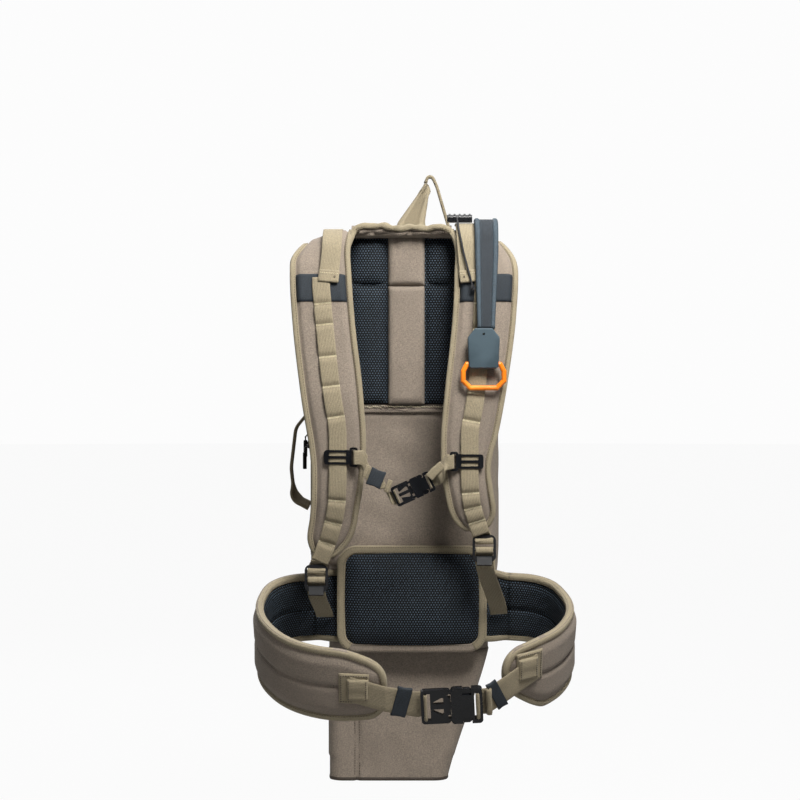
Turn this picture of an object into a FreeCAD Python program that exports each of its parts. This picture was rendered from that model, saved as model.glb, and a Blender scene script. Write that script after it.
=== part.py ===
import FreeCAD, Part

import math
import os
from types import SimpleNamespace

# Hunting backpack with a drop-down rifle boot.  Millimetres, +Z up, -Y towards the wearer's back,
# "left" is -X and "right" is +X as one faces the padded side.
# Heights are worked out below the hook that the haul loop hangs on.

# ---- clearances ---------------------------------------------------------------------------------
SOFT_GAP = 0.3
RUNNING_GAP = 0.08
SLIDE_GAP = 0.6

# ---- share of a pad's corner radius that its rims are bevelled by ------------------------------------
SOFT_BEVEL = 0.45

# ---- the bag, the rifle sleeve and the panel between them -----------------------------------------
BAG_LEFT = -143.0
BAG_RIGHT = 140.0
BAG_TOP = -104.0
BAG_BOTTOM = -606.0
BAG_DEPTH = 150.0
BAG_ROUND = 32.0
PANEL_THICKNESS = 20.0
PANEL_HALF_WIDTH = 130.0
PANEL_BOTTOM = -571.0
PANEL_ROUND = 34.0
SHEET_THICKNESS = 2.0
SHEET_MARGIN = 22.0
STAY_WIDTH = 12.0
STAY_THICKNESS = 3.0
STAY_SPREAD = 62.0
SLEEVE_LEFT = -114.0
SLEEVE_RIGHT = 122.0
SLEEVE_DEPTH = 58.0
SLEEVE_WALL = 5.0
SLEEVE_ROUND = 22.0
SLEEVE_TOP = -98.0
SLEEVE_BOTTOM = -690.0
BOOT_BOTTOM = -882.0
BOOT_TOE_RIGHT = 62.0
BOOT_FOLD_GAP = 0.3

# ---- pads on the panel --------------------------------------------------------------------------
PAD_LEFT = -82.0
PAD_RIGHT = 72.0
PAD_TOP = -93.0
PAD_SPLIT = -161.0
PAD_BOTTOM = -333.0
PAD_THICKNESS = 14.0
STRIP_LEFT = -26.0
STRIP_RIGHT = 27.0
STRIP_THICKNESS = 12.0
HEM_HEIGHT = 12.0
HEM_THICKNESS = 4.0
HEM_LEFT = -84.0
HEM_RIGHT = 74.0
LUMBAR_LEFT = -100.0
LUMBAR_RIGHT = 117.0
LUMBAR_TOP = -536.0
LUMBAR_BOTTOM = -691.0
LUMBAR_THICKNESS = 36.0
LUMBAR_ROUND = 24.0
LUMBAR_BEVEL = 9.0
BINDING_WIDTH = 7.0
BINDING_DEPTH = 13.0

# ---- shoulder straps ----------------------------------------------------------------------------
STRAP_THICKNESS = 14.0
STRAP_REAR = 18.0
STRAP_TOP_LEVEL = -84.0
STRAP_PROFILE = [(STRAP_REAR, STRAP_TOP_LEVEL), (-42.0, STRAP_TOP_LEVEL), (-68.0, -170.0),
                 (-88.0, -320.0), (-88.0, -455.0), (-62.0, -560.0)]
STRAP_RADII = [36.0, 200.0, 300.0, 150.0]
LEFT_OUTER = [(-148.0, -99.0), (-164.0, -136.0), (-160.0, -216.0), (-147.0, -323.0),
              (-133.0, -420.0), (-135.0, -492.0), (-139.0, -526.0), (-128.0, -551.0)]
LEFT_INNER = [(-72.0, -74.0), (-79.0, -100.0), (-78.0, -150.0), (-73.0, -216.0),
              (-61.0, -320.0), (-57.0, -400.0), (-66.0, -475.0), (-80.0, -525.0), (-104.0, -551.0)]
RIGHT_INNER = [(58.0, -74.0), (68.0, -100.0), (69.0, -150.0), (66.0, -210.0),
               (55.0, -312.0), (49.0, -390.0), (55.0, -458.0), (68.0, -496.0), (86.0, -514.0)]
RIGHT_OUTER = [(138.0, -100.0), (155.0, -125.0), (155.0, -205.0), (144.0, -289.0),
               (129.0, -372.0), (118.0, -420.0), (123.0, -462.0), (126.0, -487.0), (112.0, -512.0)]
YOKE_LEFT = -70.0
YOKE_RIGHT = 56.0
YOKE_FRONT = -26.0

# ---- webbing on the straps ------------------------------------------------------------------------
WEB_THICKNESS = 1.6
LADDER_WIDTH = 25.0
LADDER_LIFT = 2.6
TACK_LENGTH = 3.0
LADDER_LEFT_FOOT = -556.0
LADDER_RIGHT_FOOT = -518.0
LADDER_LEFT = [(-120.0, -168.0), (-114.0, -229.0), (-105.0, -310.0), (-96.0, -372.0),
               (-96.0, -406.0), (-96.0, -440.0), (-99.0, -480.0), (-112.0, -527.0), (-127.0, -562.0)]
LADDER_RIGHT = [(109.0, -168.0), (104.0, -256.0), (96.0, -330.0), (89.0, -372.0), (89.0, -408.0),
                (89.0, -440.0), (92.0, -470.0), (101.0, -500.0), (110.0, -524.0)]
LEFT_TACKS = [-192.0, -221.0, -266.0, -308.0, -350.0, -466.0, -497.0, -526.0]
RIGHT_TACKS = [-192.0, -228.0, -276.0, -318.0, -356.0, -456.0, -476.0, -496.0]
SHOULDER_WEB_WIDTH = 28.0
SHOULDER_WEB_END = -163.0
SHOULDER_LEFT = [(-104.0, -70.0), (-106.0, -110.0), (-111.0, -175.0)]
SHOULDER_RIGHT = [(84.0, -70.0), (86.0, -110.0), (92.0, -175.0)]
BAND_TOP = -150.0
BAND_BOTTOM = -188.0
BAND_THICKNESS = 1.0
BAND_INSET = 9.0

# ---- buckles: the squeeze buckle's sizes for each webbing -----------------------------------------
HIP_BUCKLE = SimpleNamespace(web=38.0, length=82.0, height=50.0, thickness=12.4, wall=2.0, skin=2.4,
                             bar=4.6, slot=8.0, male_frame=24.0, arm=4.4, reach=27.0, mouth=-1.0,
                             catch=14.5, tab=9.0, prong=7.0, root=2.6, corner=5.0)
CHEST_BUCKLE = SimpleNamespace(web=20.0, length=58.0, height=29.0, thickness=8.8, wall=1.4, skin=1.7,
                               bar=3.2, slot=6.0, male_frame=16.5, arm=3.0, reach=19.0, mouth=-1.0,
                               catch=10.5, tab=6.4, prong=4.6, root=1.9, corner=3.4)

# ---- sternum strap --------------------------------------------------------------------------------
SLIDER_LEVEL_LEFT = -406.0
SLIDER_LEVEL_RIGHT = -412.0
SLIDER_WIDTH = 38.0
SLIDER_HEIGHT = 20.0
SLIDER_BAR = 1.6
EYE_REACH = 9.0
EYE_BAR = 3.2
EYE_THICKNESS = 4.0
CHEST_CENTRE = (9.5, -450.0)
CHEST_ANGLE = 25.0
KEEPER_THICKNESS = 1.4
KEEPER_LENGTH = 20.0

# ---- adjusters at the strap ends --------------------------------------------------------------------
ADJUSTER_WIDTH = 33.0
ADJUSTER_HEIGHT = 38.0
ADJUSTER_PLATE = 4.4
ADJUSTER_BAR = 2.2
ADJUSTER_FOOT = 8.5
ADJUSTER_RIM = 4.5
ADJUSTER_WEB_BEND = 20.0
ADJUSTER_LEFT = (-127.0, -69.8, -578.0)
ADJUSTER_RIGHT = (110.0, -79.2, -535.0)
ANCHOR_MARGIN = 5.0
ANCHOR_LEFT_LEVEL = -640.0
ANCHOR_RIGHT_LEVEL = -636.0

# ---- hip belt, drawn level and then tilted down about the line behind the lumbar pad ---------------
BELT_TILT = 19.0
BELT_AXIS_Y = PANEL_THICKNESS / 2
BELT_LEVEL = -625.0
WING_HEIGHT = 105.0
WING_THICKNESS = 18.0
LEFT_PLAN = [(-112.0, BELT_AXIS_Y), (-192.0, -4.0), (-212.0, -118.0), (-150.0, -232.0),
             (-29.0, -245.0)]
LEFT_PLAN_RADII = [60.0, 160.0, 122.0]
RIGHT_PLAN = [(121.0, BELT_AXIS_Y), (206.0, -2.0), (236.0, -104.0), (198.0, -194.0),
              (131.0, -229.0)]
RIGHT_PLAN_RADII = [60.0, 130.0, 118.0]
LEFT_TIP_TOP = -588.0
LEFT_TIP_BOTTOM = -672.0
RIGHT_TIP_TOP = -580.0
RIGHT_TIP_BOTTOM = -646.0
TIP_ROUND = 28.0
TIP_TAPER = 58.0
TAPER_ROUND = 30.0
PATCH_LENGTH = 40.0
PATCH_HEIGHT = 44.0
PATCH_THICKNESS = 1.2
HIP_WEB_THICKNESS = 2.0
HIP_BUCKLE_CENTRE = (60.0, -258.0, -645.0)
HIP_BUCKLE_ANGLE = 3.0
HIP_KEEPER_LENGTH = 22.0
HIP_KEEPER_PART = 0.46
HIP_KEEPER_SHARE = 0.52
HIP_WEB_SEWN = 44.0
HIP_WEB_TAIL = 8.0
HIP_WEB_BEND = 8.0

# ---- haul loop ----------------------------------------------------------------------------------
LOOP_THICKNESS = 3.0
YOKE_REAR = 20.0
HOOK_ACROSS = 34.0
HOOK = FreeCAD.Vector(HOOK_ACROSS, YOKE_REAR + SOFT_GAP + LOOP_THICKNESS / 2, 0.0)
LOOP_FOOT_LEFT = (-20.0, 31.0)
LOOP_FOOT_RIGHT = 66.0
LOOP_FOOT_LEVEL = -88.0
LOOP_FOOT_RISE = 12.4
LOOP_FOOT_CLEAR = 2.0
LOOP_FOLDED = 12.5
LOOP_GRIP = 8.0

# ---- quick-pull retainer on the right strap -------------------------------------------------------
HOOK_SLEEVE_THICKNESS = 9.0
HOOK_SLEEVE_TOP = (96.0, 133.0)
HOOK_SLEEVE_FOOT = (99.0, 124.0)
HOOK_SLEEVE_END = -226.0
HOOK_SLEEVE_REAR = -24.0
HOUSING_Y = -104.0
HOUSING_THICKNESS = 13.0
HOUSING_TOP = -226.0
HOUSING_BOTTOM = -282.0
HOUSING_CENTRE = 108.0
HOUSING_WIDTH = 45.0
HOUSING_NECK = 24.0
HOUSING_FOOT = 41.0
HOUSING_WALL = 2.4
HOUSING_BEVEL = 1.4
MAGNET_WIDTH = 24.0
MAGNET_THICKNESS = 6.0
MAGNET_RISE = 17.0
MAGNET_DROP = 15.0
LANYARD_HOLE = 1.6
LANYARD_HOLE_DROP = 8.0
RING_BAR = 3.5
RING_WIDTH = 64.0
RING_HEIGHT = 40.0
RING_END_PLAY = 2.8
GUIDE_CENTRE = (77.0, -22.0)
GUIDE_LENGTH = 36.0
GUIDE_RADIUS = 5.0
GUIDE_RIB = 1.4
GUIDE_RIBS = 5
GUIDE_FOOT = 2.0
CORD_DIAMETER = 3.0
CORD_ROUTE = [(73.4, -28.0, -66.0), (73.8, -41.6, -73.6), (75.2, -54.8, -85.6),
              (77.8, -63.8, -100.0), (81.2, -70.0, -118.0), (85.6, -75.2, -136.0),
              (90.2, -80.2, -153.0), (93.6, -83.6, -167.0)]

# ---- zips, pulls and the side handle ----------------------------------------------------------------
ZIP_ROWS = {"front": 142.0, "rear": 162.0}
ZIP_WIDTH = 9.0
ZIP_THICKNESS = 1.6
ZIP_TOP = -190.0
ZIP_BOTTOM = -560.0
ZIP_SLIDERS = {"front": -394.0, "rear": -376.0}
SLIDER_BODY = (4.4, 8.0, 11.0)
BAIL_RADIUS = 0.9
PULL_RADIUS = 3.0
PULL_LENGTH = 26.0
PULL_NECK = 13.0
PULL_STAND = 6.0
PULL_INSET = 1.9
HANDLE_Y = (104.0, 132.0)
HANDLE_THICKNESS = 3.0
HANDLE_PROFILE = [(BAG_LEFT - 1.8, -342.0), (-166.0, -368.0), (-173.0, -428.0), (-168.0, -474.0),
                  (BAG_LEFT - 1.8, -486.0)]
HANDLE_RADII = [26.0, 60.0, 22.0]
POCKET_DEPTH = 30.0
POCKET_LEFT = -104.0
POCKET_RIGHT = 101.0
POCKET_TOP = -286.0
POCKET_BOTTOM = -572.0
POCKET_ROUND = 14.0

# ---- places that follow from the sizes --------------------------------------------------------------
SHEET_FRONT = PANEL_THICKNESS / 2 - SHEET_THICKNESS
STAY_FRONT = SHEET_FRONT + SHEET_THICKNESS
SLEEVE_FRONT = PANEL_THICKNESS + SOFT_GAP
SLEEVE_REAR = SLEEVE_FRONT + SLEEVE_DEPTH
BAG_FRONT = SLEEVE_REAR + SOFT_GAP
BAG_REAR = BAG_FRONT + BAG_DEPTH
BOOT_TOP = SLEEVE_BOTTOM - BOOT_FOLD_GAP
STRAP_FACE = STRAP_THICKNESS / 2
ANCHOR_LEFT = (LUMBAR_LEFT - ANCHOR_MARGIN - LADDER_WIDTH / 2, ANCHOR_LEFT_LEVEL)
ANCHOR_RIGHT = (LUMBAR_RIGHT + ANCHOR_MARGIN + LADDER_WIDTH / 2, ANCHOR_RIGHT_LEVEL)
CORE_LEFT = ANCHOR_LEFT[0] - LADDER_WIDTH / 2 - 2 * SOFT_GAP
CORE_RIGHT = ANCHOR_RIGHT[0] + LADDER_WIDTH / 2 + 2 * SOFT_GAP
PANEL_TOP = STRAP_TOP_LEVEL - STRAP_FACE - SOFT_GAP
REACH = 400.0
MITRED = 1
NEARLY = 0.98
FORWARD = FreeCAD.Vector(0, -1, 0)
UP = FreeCAD.Vector(0, 0, 1)
ACROSS = FreeCAD.Vector(1, 0, 0)


# ---- plane drawing ------------------------------------------------------------------------------
def flat(point):
    return FreeCAD.Vector(point[0], point[1], 0)


def unit(vector):
    return vector / vector.Length


def turn_between(before, after):
    """Signed angle from one direction to the next, positive to the left."""
    return math.atan2(before.x * after.y - before.y * after.x, before.dot(after))


def in_side_view(x):
    return lambda p: FreeCAD.Vector(x, p.x, p.y)


def in_plan(z):
    return lambda p: FreeCAD.Vector(p.x, p.y, z)


def in_front_view(y):
    return lambda p: FreeCAD.Vector(p.x, y, p.y)


def corner_arc(before, corner, after, radius, lift):
    """The tangent arc that rounds one corner, with the points where it starts and ends."""
    come = unit(corner - before)
    leave = unit(after - corner)
    half_turn = abs(turn_between(come, leave)) / 2
    start = corner - come * (radius * math.tan(half_turn))
    end = corner + leave * (radius * math.tan(half_turn))
    middle = corner + unit(leave - come) * (radius / math.cos(half_turn) - radius)
    arc = Part.Arc(lift(start), lift(middle), lift(end)).toShape()
    return start, arc, end


def rounded_run(points, radii, lift):
    """Edges of an open path: straight runs joined by tangent arcs."""
    edges = []
    here = points[0]
    for before, corner, after, radius in zip(points, points[1:], points[2:], radii):
        start, arc, end = corner_arc(before, corner, after, radius, lift)
        edges.append(Part.LineSegment(lift(here), lift(start)).toShape())
        edges.append(arc)
        here = end
    edges.append(Part.LineSegment(lift(here), lift(points[-1])).toShape())
    return edges


def rounded_face(corners, radii, lift):
    """A closed outline with one radius for each corner; 0 leaves the corner sharp."""
    points = [flat(corner) for corner in corners]
    count = len(points)
    parts = []
    for index, radius in enumerate(radii):
        before = points[index - 1]
        after = points[(index + 1) % count]
        if radius > 0:
            parts.append(corner_arc(before, points[index], after, radius, lift))
        else:
            parts.append((points[index], None, points[index]))
    edges = []
    for index, (_, arc, end) in enumerate(parts):
        if arc is not None:
            edges.append(arc)
        edges.append(Part.LineSegment(lift(end), lift(parts[(index + 1) % count][0])).toShape())
    return Part.Face(Part.Wire(edges))


def offset_path(points, radii, offset):
    """The same path moved sideways: its corners slide on their mitres and its arcs stay concentric."""
    moved = []
    moved_radii = []
    for index, point in enumerate(points):
        come = unit(point - points[index - 1]) if index else unit(points[1] - points[0])
        leave = unit(points[index + 1] - point) if index < len(points) - 1 else come
        turn = turn_between(come, leave)
        middle = unit(come + leave)
        sideways = FreeCAD.Vector(-middle.y, middle.x, 0)
        moved.append(point + sideways * (offset / math.cos(turn / 2)))
        if 0 < index < len(points) - 1:
            moved_radii.append(radii[index - 1] - offset * math.copysign(1, turn))
    return moved, moved_radii


def band(corners, radii, inner, outer, lift, sweep):
    """A strip of even thickness that follows a path, swept straight across."""
    points = [flat(corner) for corner in corners]
    near, near_radii = offset_path(points, radii, inner)
    far, far_radii = offset_path(points, radii, outer)
    edges = rounded_run(near, near_radii, lift)
    edges.append(Part.LineSegment(lift(near[-1]), lift(far[-1])).toShape())
    edges += rounded_run(far[::-1], far_radii[::-1], lift)
    edges.append(Part.LineSegment(lift(far[0]), lift(near[0])).toShape())
    return Part.Face(Part.Wire(Part.__sortEdges__(edges))).extrude(sweep)


def spline(points, lift):
    curve = Part.BSplineCurve()
    curve.interpolate([lift(flat(point)) for point in points])
    return curve.toShape()


def front_prism(left_side, right_side):
    """Everything that lies behind an outline drawn in front view between two smooth edges."""
    lift = in_front_view(-REACH)
    edges = [spline(left_side, lift), spline(right_side, lift)]
    for a, b in ((left_side[0], right_side[0]), (left_side[-1], right_side[-1])):
        edges.append(Part.LineSegment(lift(flat(a)), lift(flat(b))).toShape())
    return Part.Face(Part.Wire(Part.__sortEdges__(edges))).extrude(FORWARD * (-2 * REACH))


def ribbon_prism(centre, width):
    left = [(x - width / 2, z) for x, z in centre]
    right = [(x + width / 2, z) for x, z in centre]
    return front_prism(left, right)


# ---- solids -------------------------------------------------------------------------------------
def block(low, high):
    size = [b - a for a, b in zip(low, high)]
    return Part.makeBox(size[0], size[1], size[2], FreeCAD.Vector(*low))


def round_plate(left, right, bottom, top, radius, front, rear):
    """A plate that faces the wearer, with rounded corners."""
    corners = [(left, bottom), (right, bottom), (right, top), (left, top)]
    face = rounded_face(corners, [radius] * 4, in_front_view(front))
    return face.extrude(FORWARD * (front - rear))


def soft_block(low, high, radius):
    """A padded block that faces the wearer: rounded corners and bevelled rims."""
    plate = round_plate(low[0], high[0], low[2], high[2], radius, low[1], high[1])
    rims = [e for e in plate.Edges if e.BoundBox.YLength < 0.01]
    return plate.makeChamfer(radius * SOFT_BEVEL, rims)


def rod(start, end, radius):
    line = end - start
    return Part.makeCylinder(radius, line.Length, start, line)


def fused(solids):
    whole = solids[0].multiFuse(solids[1:])
    return whole.removeSplitter()


def frustum(lower, upper):
    """The solid between two four-cornered sections whose sides stay parallel."""
    faces = [Part.Face(Part.makePolygon(ring + [ring[0]])) for ring in (lower, upper)]
    for index in range(4):
        a, b = lower[index - 1], lower[index]
        c, d = upper[index], upper[index - 1]
        faces.append(Part.Face(Part.makePolygon([a, b, c, d, a])))
    solid = Part.makeSolid(Part.makeShell(faces))
    if solid.Volume < 0:
        solid.reverse()
    return solid


# ---- bag, sleeve and boot -------------------------------------------------------------------------
def main_bag():
    return soft_block((BAG_LEFT, BAG_FRONT, BAG_BOTTOM), (BAG_RIGHT, BAG_REAR, BAG_TOP), BAG_ROUND)


def front_pocket():
    low = (POCKET_LEFT, BAG_REAR + SOFT_GAP, POCKET_BOTTOM)
    high = (POCKET_RIGHT, BAG_REAR + SOFT_GAP + POCKET_DEPTH, POCKET_TOP)
    return soft_block(low, high, POCKET_ROUND)


def tube_section(left, right, front, rear, radius, z):
    corners = [(left, front), (right, front), (right, rear), (left, rear)]
    return rounded_face(corners, [radius] * 4, in_plan(z))


def rifle_sleeve():
    height = UP * (SLEEVE_TOP - SLEEVE_BOTTOM)
    outer = tube_section(SLEEVE_LEFT, SLEEVE_RIGHT, SLEEVE_FRONT, SLEEVE_REAR, SLEEVE_ROUND,
                         SLEEVE_BOTTOM)
    inner = tube_section(SLEEVE_LEFT + SLEEVE_WALL, SLEEVE_RIGHT - SLEEVE_WALL,
                         SLEEVE_FRONT + SLEEVE_WALL, SLEEVE_REAR - SLEEVE_WALL,
                         SLEEVE_ROUND - SLEEVE_WALL, SLEEVE_BOTTOM)
    return outer.cut(inner).extrude(height)


def boot_loft(wall, floor_level):
    top = BOOT_TOP
    fall = (top - floor_level) / (top - BOOT_BOTTOM)
    toe = SLEEVE_RIGHT + (BOOT_TOE_RIGHT - SLEEVE_RIGHT) * fall
    wires = []
    for right, level in ((SLEEVE_RIGHT, top), (toe, floor_level)):
        section = tube_section(SLEEVE_LEFT + wall, right - wall, SLEEVE_FRONT + wall,
                               SLEEVE_REAR - wall, SLEEVE_ROUND - wall, level)
        wires.append(section.OuterWire)
    return Part.makeLoft(wires, True, True)


def rifle_boot():
    return boot_loft(0.0, BOOT_BOTTOM).cut(boot_loft(SLEEVE_WALL, BOOT_BOTTOM + SLEEVE_WALL))


# ---- panel and what is inside it ------------------------------------------------------------------
def frame_sheet():
    return round_plate(-PANEL_HALF_WIDTH + SHEET_MARGIN, PANEL_HALF_WIDTH - SHEET_MARGIN,
                       PANEL_BOTTOM + SHEET_MARGIN, PANEL_TOP - SHEET_MARGIN,
                       PANEL_ROUND - SHEET_MARGIN, SHEET_FRONT, SHEET_FRONT + SHEET_THICKNESS)


def stay(side):
    middle = side * STAY_SPREAD
    return round_plate(middle - STAY_WIDTH / 2, middle + STAY_WIDTH / 2,
                       PANEL_BOTTOM + 2 * SHEET_MARGIN, PANEL_TOP - 2 * SHEET_MARGIN,
                       STAY_WIDTH / 2.5, STAY_FRONT, STAY_FRONT + STAY_THICKNESS)


def frame_stays():
    return Part.makeCompound([stay(-1), stay(1)])


def back_panel():
    body = round_plate(-PANEL_HALF_WIDTH, PANEL_HALF_WIDTH, PANEL_BOTTOM, PANEL_TOP, PANEL_ROUND,
                       0.0, PANEL_THICKNESS)
    margin = SHEET_MARGIN - SOFT_GAP
    pocket = round_plate(-PANEL_HALF_WIDTH + margin, PANEL_HALF_WIDTH - margin,
                         PANEL_BOTTOM + margin, PANEL_TOP - margin, PANEL_ROUND - margin,
                         SHEET_FRONT - SOFT_GAP, STAY_FRONT + STAY_THICKNESS + SOFT_GAP)
    return body.cut(pocket)


def panel_pad(left, right, bottom, top, thickness, radius):
    low = (left, -SOFT_GAP - thickness, bottom)
    high = (right, -SOFT_GAP, top)
    return soft_block(low, high, radius)


def mesh_pads(bottom, top):
    left = panel_pad(PAD_LEFT, STRIP_LEFT - SOFT_GAP, bottom, top, PAD_THICKNESS, 5.0)
    right = panel_pad(STRIP_RIGHT + SOFT_GAP, PAD_RIGHT, bottom, top, PAD_THICKNESS, 5.0)
    return Part.makeCompound([left, right])


def spine_strips():
    upper = panel_pad(STRIP_LEFT, STRIP_RIGHT, PAD_SPLIT + SOFT_GAP, PAD_TOP, STRIP_THICKNESS, 4.5)
    lower = panel_pad(STRIP_LEFT, STRIP_RIGHT, PAD_BOTTOM, PAD_SPLIT, STRIP_THICKNESS, 4.5)
    return Part.makeCompound([upper, lower])


def panel_hem():
    top = PAD_BOTTOM - SOFT_GAP
    return panel_pad(HEM_LEFT, HEM_RIGHT, top - HEM_HEIGHT, top, HEM_THICKNESS, HEM_THICKNESS / 2.2)


def lumbar_binding():
    outer = round_plate(LUMBAR_LEFT, LUMBAR_RIGHT, LUMBAR_BOTTOM, LUMBAR_TOP, LUMBAR_ROUND,
                        -SOFT_GAP - BINDING_DEPTH, -SOFT_GAP)
    inset = BINDING_WIDTH
    inner = round_plate(LUMBAR_LEFT + inset, LUMBAR_RIGHT - inset, LUMBAR_BOTTOM + inset,
                        LUMBAR_TOP - inset, LUMBAR_ROUND - inset, -SOFT_GAP - BINDING_DEPTH,
                        -SOFT_GAP)
    return outer.cut(inner)


def lumbar_pad():
    inset = BINDING_WIDTH + SOFT_GAP
    pad = round_plate(LUMBAR_LEFT + inset, LUMBAR_RIGHT - inset, LUMBAR_BOTTOM + inset,
                      LUMBAR_TOP - inset, LUMBAR_ROUND - inset, -SOFT_GAP - LUMBAR_THICKNESS,
                      -SOFT_GAP)
    front_edges = [e for e in pad.Edges if e.BoundBox.YMax < -LUMBAR_THICKNESS]
    return pad.makeChamfer(LUMBAR_BEVEL, front_edges)


def belt_core():
    half = WING_HEIGHT / 2
    lift = PANEL_BOTTOM - SOFT_GAP
    top = min(BELT_LEVEL + half, lift)
    return round_plate(CORE_LEFT, CORE_RIGHT, BELT_LEVEL - half, top, 5.0, 0.0, PANEL_THICKNESS)


# ---- harness ------------------------------------------------------------------------------------
def strap_layer(inner, outer):
    """A layer of the strap's side profile; offsets run from its middle towards the wearer."""
    sweep = ACROSS * (2 * REACH)
    return band(STRAP_PROFILE, STRAP_RADII, inner, outer, in_side_view(-REACH), sweep)


# The profile runs forward and down, so its left-hand side is the pack side.
def toward_wearer(inner, outer):
    return strap_layer(-outer, -inner)


def shoulder_strap(left_side, right_side):
    return toward_wearer(-STRAP_FACE, STRAP_FACE).common(front_prism(left_side, right_side))


def yoke():
    half = STRAP_FACE
    low = (YOKE_LEFT + SOFT_GAP, YOKE_FRONT, STRAP_TOP_LEVEL - half)
    high = (YOKE_RIGHT - SOFT_GAP, YOKE_REAR, STRAP_TOP_LEVEL + half)
    return soft_block(low, high, half * 0.8)


def between_levels(top, bottom):
    return block((-REACH, -REACH, bottom), (REACH, REACH, top))


def ladder_webbing(centre, tacks, foot):
    ribbon = ribbon_prism(centre, LADDER_WIDTH)
    face = STRAP_FACE + LADDER_LIFT
    tape = toward_wearer(face, face + WEB_THICKNESS).common(ribbon)
    tape = tape.cut(between_levels(foot, foot - REACH))
    slab = toward_wearer(STRAP_FACE + SOFT_GAP, face + WEB_THICKNESS / 2).common(ribbon)
    feet = [slab.common(between_levels(z + TACK_LENGTH / 2, z - TACK_LENGTH / 2)) for z in tacks]
    return fused([tape] + feet)


def strap_band(left_side, right_side):
    """A dark band stitched across the strap's face, between its edge bindings."""
    inset_left = [(x + BAND_INSET, z) for x, z in left_side]
    inset_right = [(x - BAND_INSET, z) for x, z in right_side]
    layer = toward_wearer(STRAP_FACE + SOFT_GAP, STRAP_FACE + SOFT_GAP + BAND_THICKNESS)
    face = layer.common(front_prism(inset_left, inset_right))
    return face.common(between_levels(BAND_TOP, BAND_BOTTOM))


def shoulder_webbing(centre):
    face = STRAP_FACE + LADDER_LIFT + WEB_THICKNESS + SOFT_GAP
    over = toward_wearer(face, face + WEB_THICKNESS).common(ribbon_prism(centre, SHOULDER_WEB_WIDTH))
    over = over.common(block((-REACH, -REACH, SHOULDER_WEB_END), (REACH, STRAP_REAR, REACH)))
    foot = toward_wearer(STRAP_FACE + SOFT_GAP, face + WEB_THICKNESS / 2)
    foot = foot.common(ribbon_prism(centre, SHOULDER_WEB_WIDTH))
    foot = foot.common(between_levels(BAND_TOP + 2 * TACK_LENGTH, BAND_TOP + TACK_LENGTH))
    return fused([over, foot])


def adjuster(place):
    """Ladder buckle: a frame with a sewn bar at the top, a gripping bar and a lifting tab."""
    x, y, z = place
    half_w = ADJUSTER_WIDTH / 2
    half_h = ADJUSTER_HEIGHT / 2
    front = y - ADJUSTER_PLATE / 2
    rear = y + ADJUSTER_PLATE / 2
    frame = round_plate(x - half_w, x + half_w, z - half_h, z + half_h, 8.0, front, rear)
    slot_half = LADDER_WIDTH / 2 + SLIDE_GAP
    window = block((x - slot_half, front - 1, z - half_h + ADJUSTER_FOOT),
                   (x + slot_half, rear + 1, z + half_h - ADJUSTER_RIM))
    frame = frame.cut(window)
    bars = []
    for level, forward in ((SEWN_BAR, 0.0), (GRIP_BAR, 0.8)):
        start = FreeCAD.Vector(x - slot_half - 1, y - forward, z + level)
        bars.append(rod(start, start + ACROSS * (2 * slot_half + 2), ADJUSTER_BAR))
    low = z - half_h
    tab_corners = [(front + 0.6, low + 3), (front - 5.0, low - 5), (front - 6.6, low - 3.6),
                   (front - 1.4, low + 6), (front + 0.6, low + 8)]
    tab_face = rounded_face(tab_corners, [0, 0, 0, 0, 0], in_side_view(x - half_w + 6))
    tab = tab_face.extrude(ACROSS * (ADJUSTER_WIDTH - 12))
    return fused([frame] + bars + [tab])


SEWN_BAR = ADJUSTER_HEIGHT / 2 - 9.0
GRIP_BAR = -2.0


def strap_end_loop(place, top):
    """Webbing that comes down from the strap, wraps the adjuster's sewn bar and goes back up."""
    x, y, z = place
    bar_z = z + SEWN_BAR
    inner = ADJUSTER_BAR + SOFT_GAP
    r = inner + WEB_THICKNESS / 2
    bend = r * NEARLY
    corners = [(y - r, top), (y - r, bar_z - r), (y + r, bar_z - r), (y + r, top)]
    return band(corners, [bend, bend], -WEB_THICKNESS / 2, WEB_THICKNESS / 2,
                in_side_view(x - LADDER_WIDTH / 2), ACROSS * LADDER_WIDTH)


def adjuster_webbing(place, anchor):
    """Free webbing from the grip bar down and back to its anchor beside the lumbar pad."""
    x, y, z = place
    ax, az = anchor
    ay = -SOFT_GAP - WEB_THICKNESS / 2
    rear = y + ADJUSTER_BAR + SOFT_GAP + WEB_THICKNESS / 2
    start = z + GRIP_BAR + 5.0
    corners = [(rear, start), (rear, z - ADJUSTER_HEIGHT / 2 - 6), (ay, az)]
    wide = band(corners, [ADJUSTER_WEB_BEND], -WEB_THICKNESS / 2, WEB_THICKNESS / 2, in_side_view(-REACH),
                ACROSS * (2 * REACH))
    half = LADDER_WIDTH / 2
    centre = [(x, start + 10), (x, z - ADJUSTER_HEIGHT / 2), (ax, az), (ax, az - 10)]
    left = [(cx - half, cz) for cx, cz in centre]
    right = [(cx + half, cz) for cx, cz in centre]
    outline = rounded_face(left + right[::-1], [0] * 8, in_front_view(-REACH))
    return wide.common(outline.extrude(FORWARD * (-2 * REACH)))


# ---- squeeze buckle: male at -X, female at +X, face towards -Y -------------------------------------
def buckle_plate(b, left, right, half_height, depth):
    return round_plate(left, right, -half_height, half_height, b.corner, -depth / 2, depth / 2)


def web_slot(b, left, right):
    half = b.web / 2 + SLIDE_GAP
    return block((left, -REACH, -half), (right, REACH, half))


def socket_radius(b):
    return b.root + RUNNING_GAP


def arm_pivot(b, side):
    return FreeCAD.Vector(b.mouth - b.root - 1.2, 0, side * arm_line(b))


def arm_line(b):
    return b.height / 2 - b.wall - SLIDE_GAP - b.arm / 2


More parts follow.
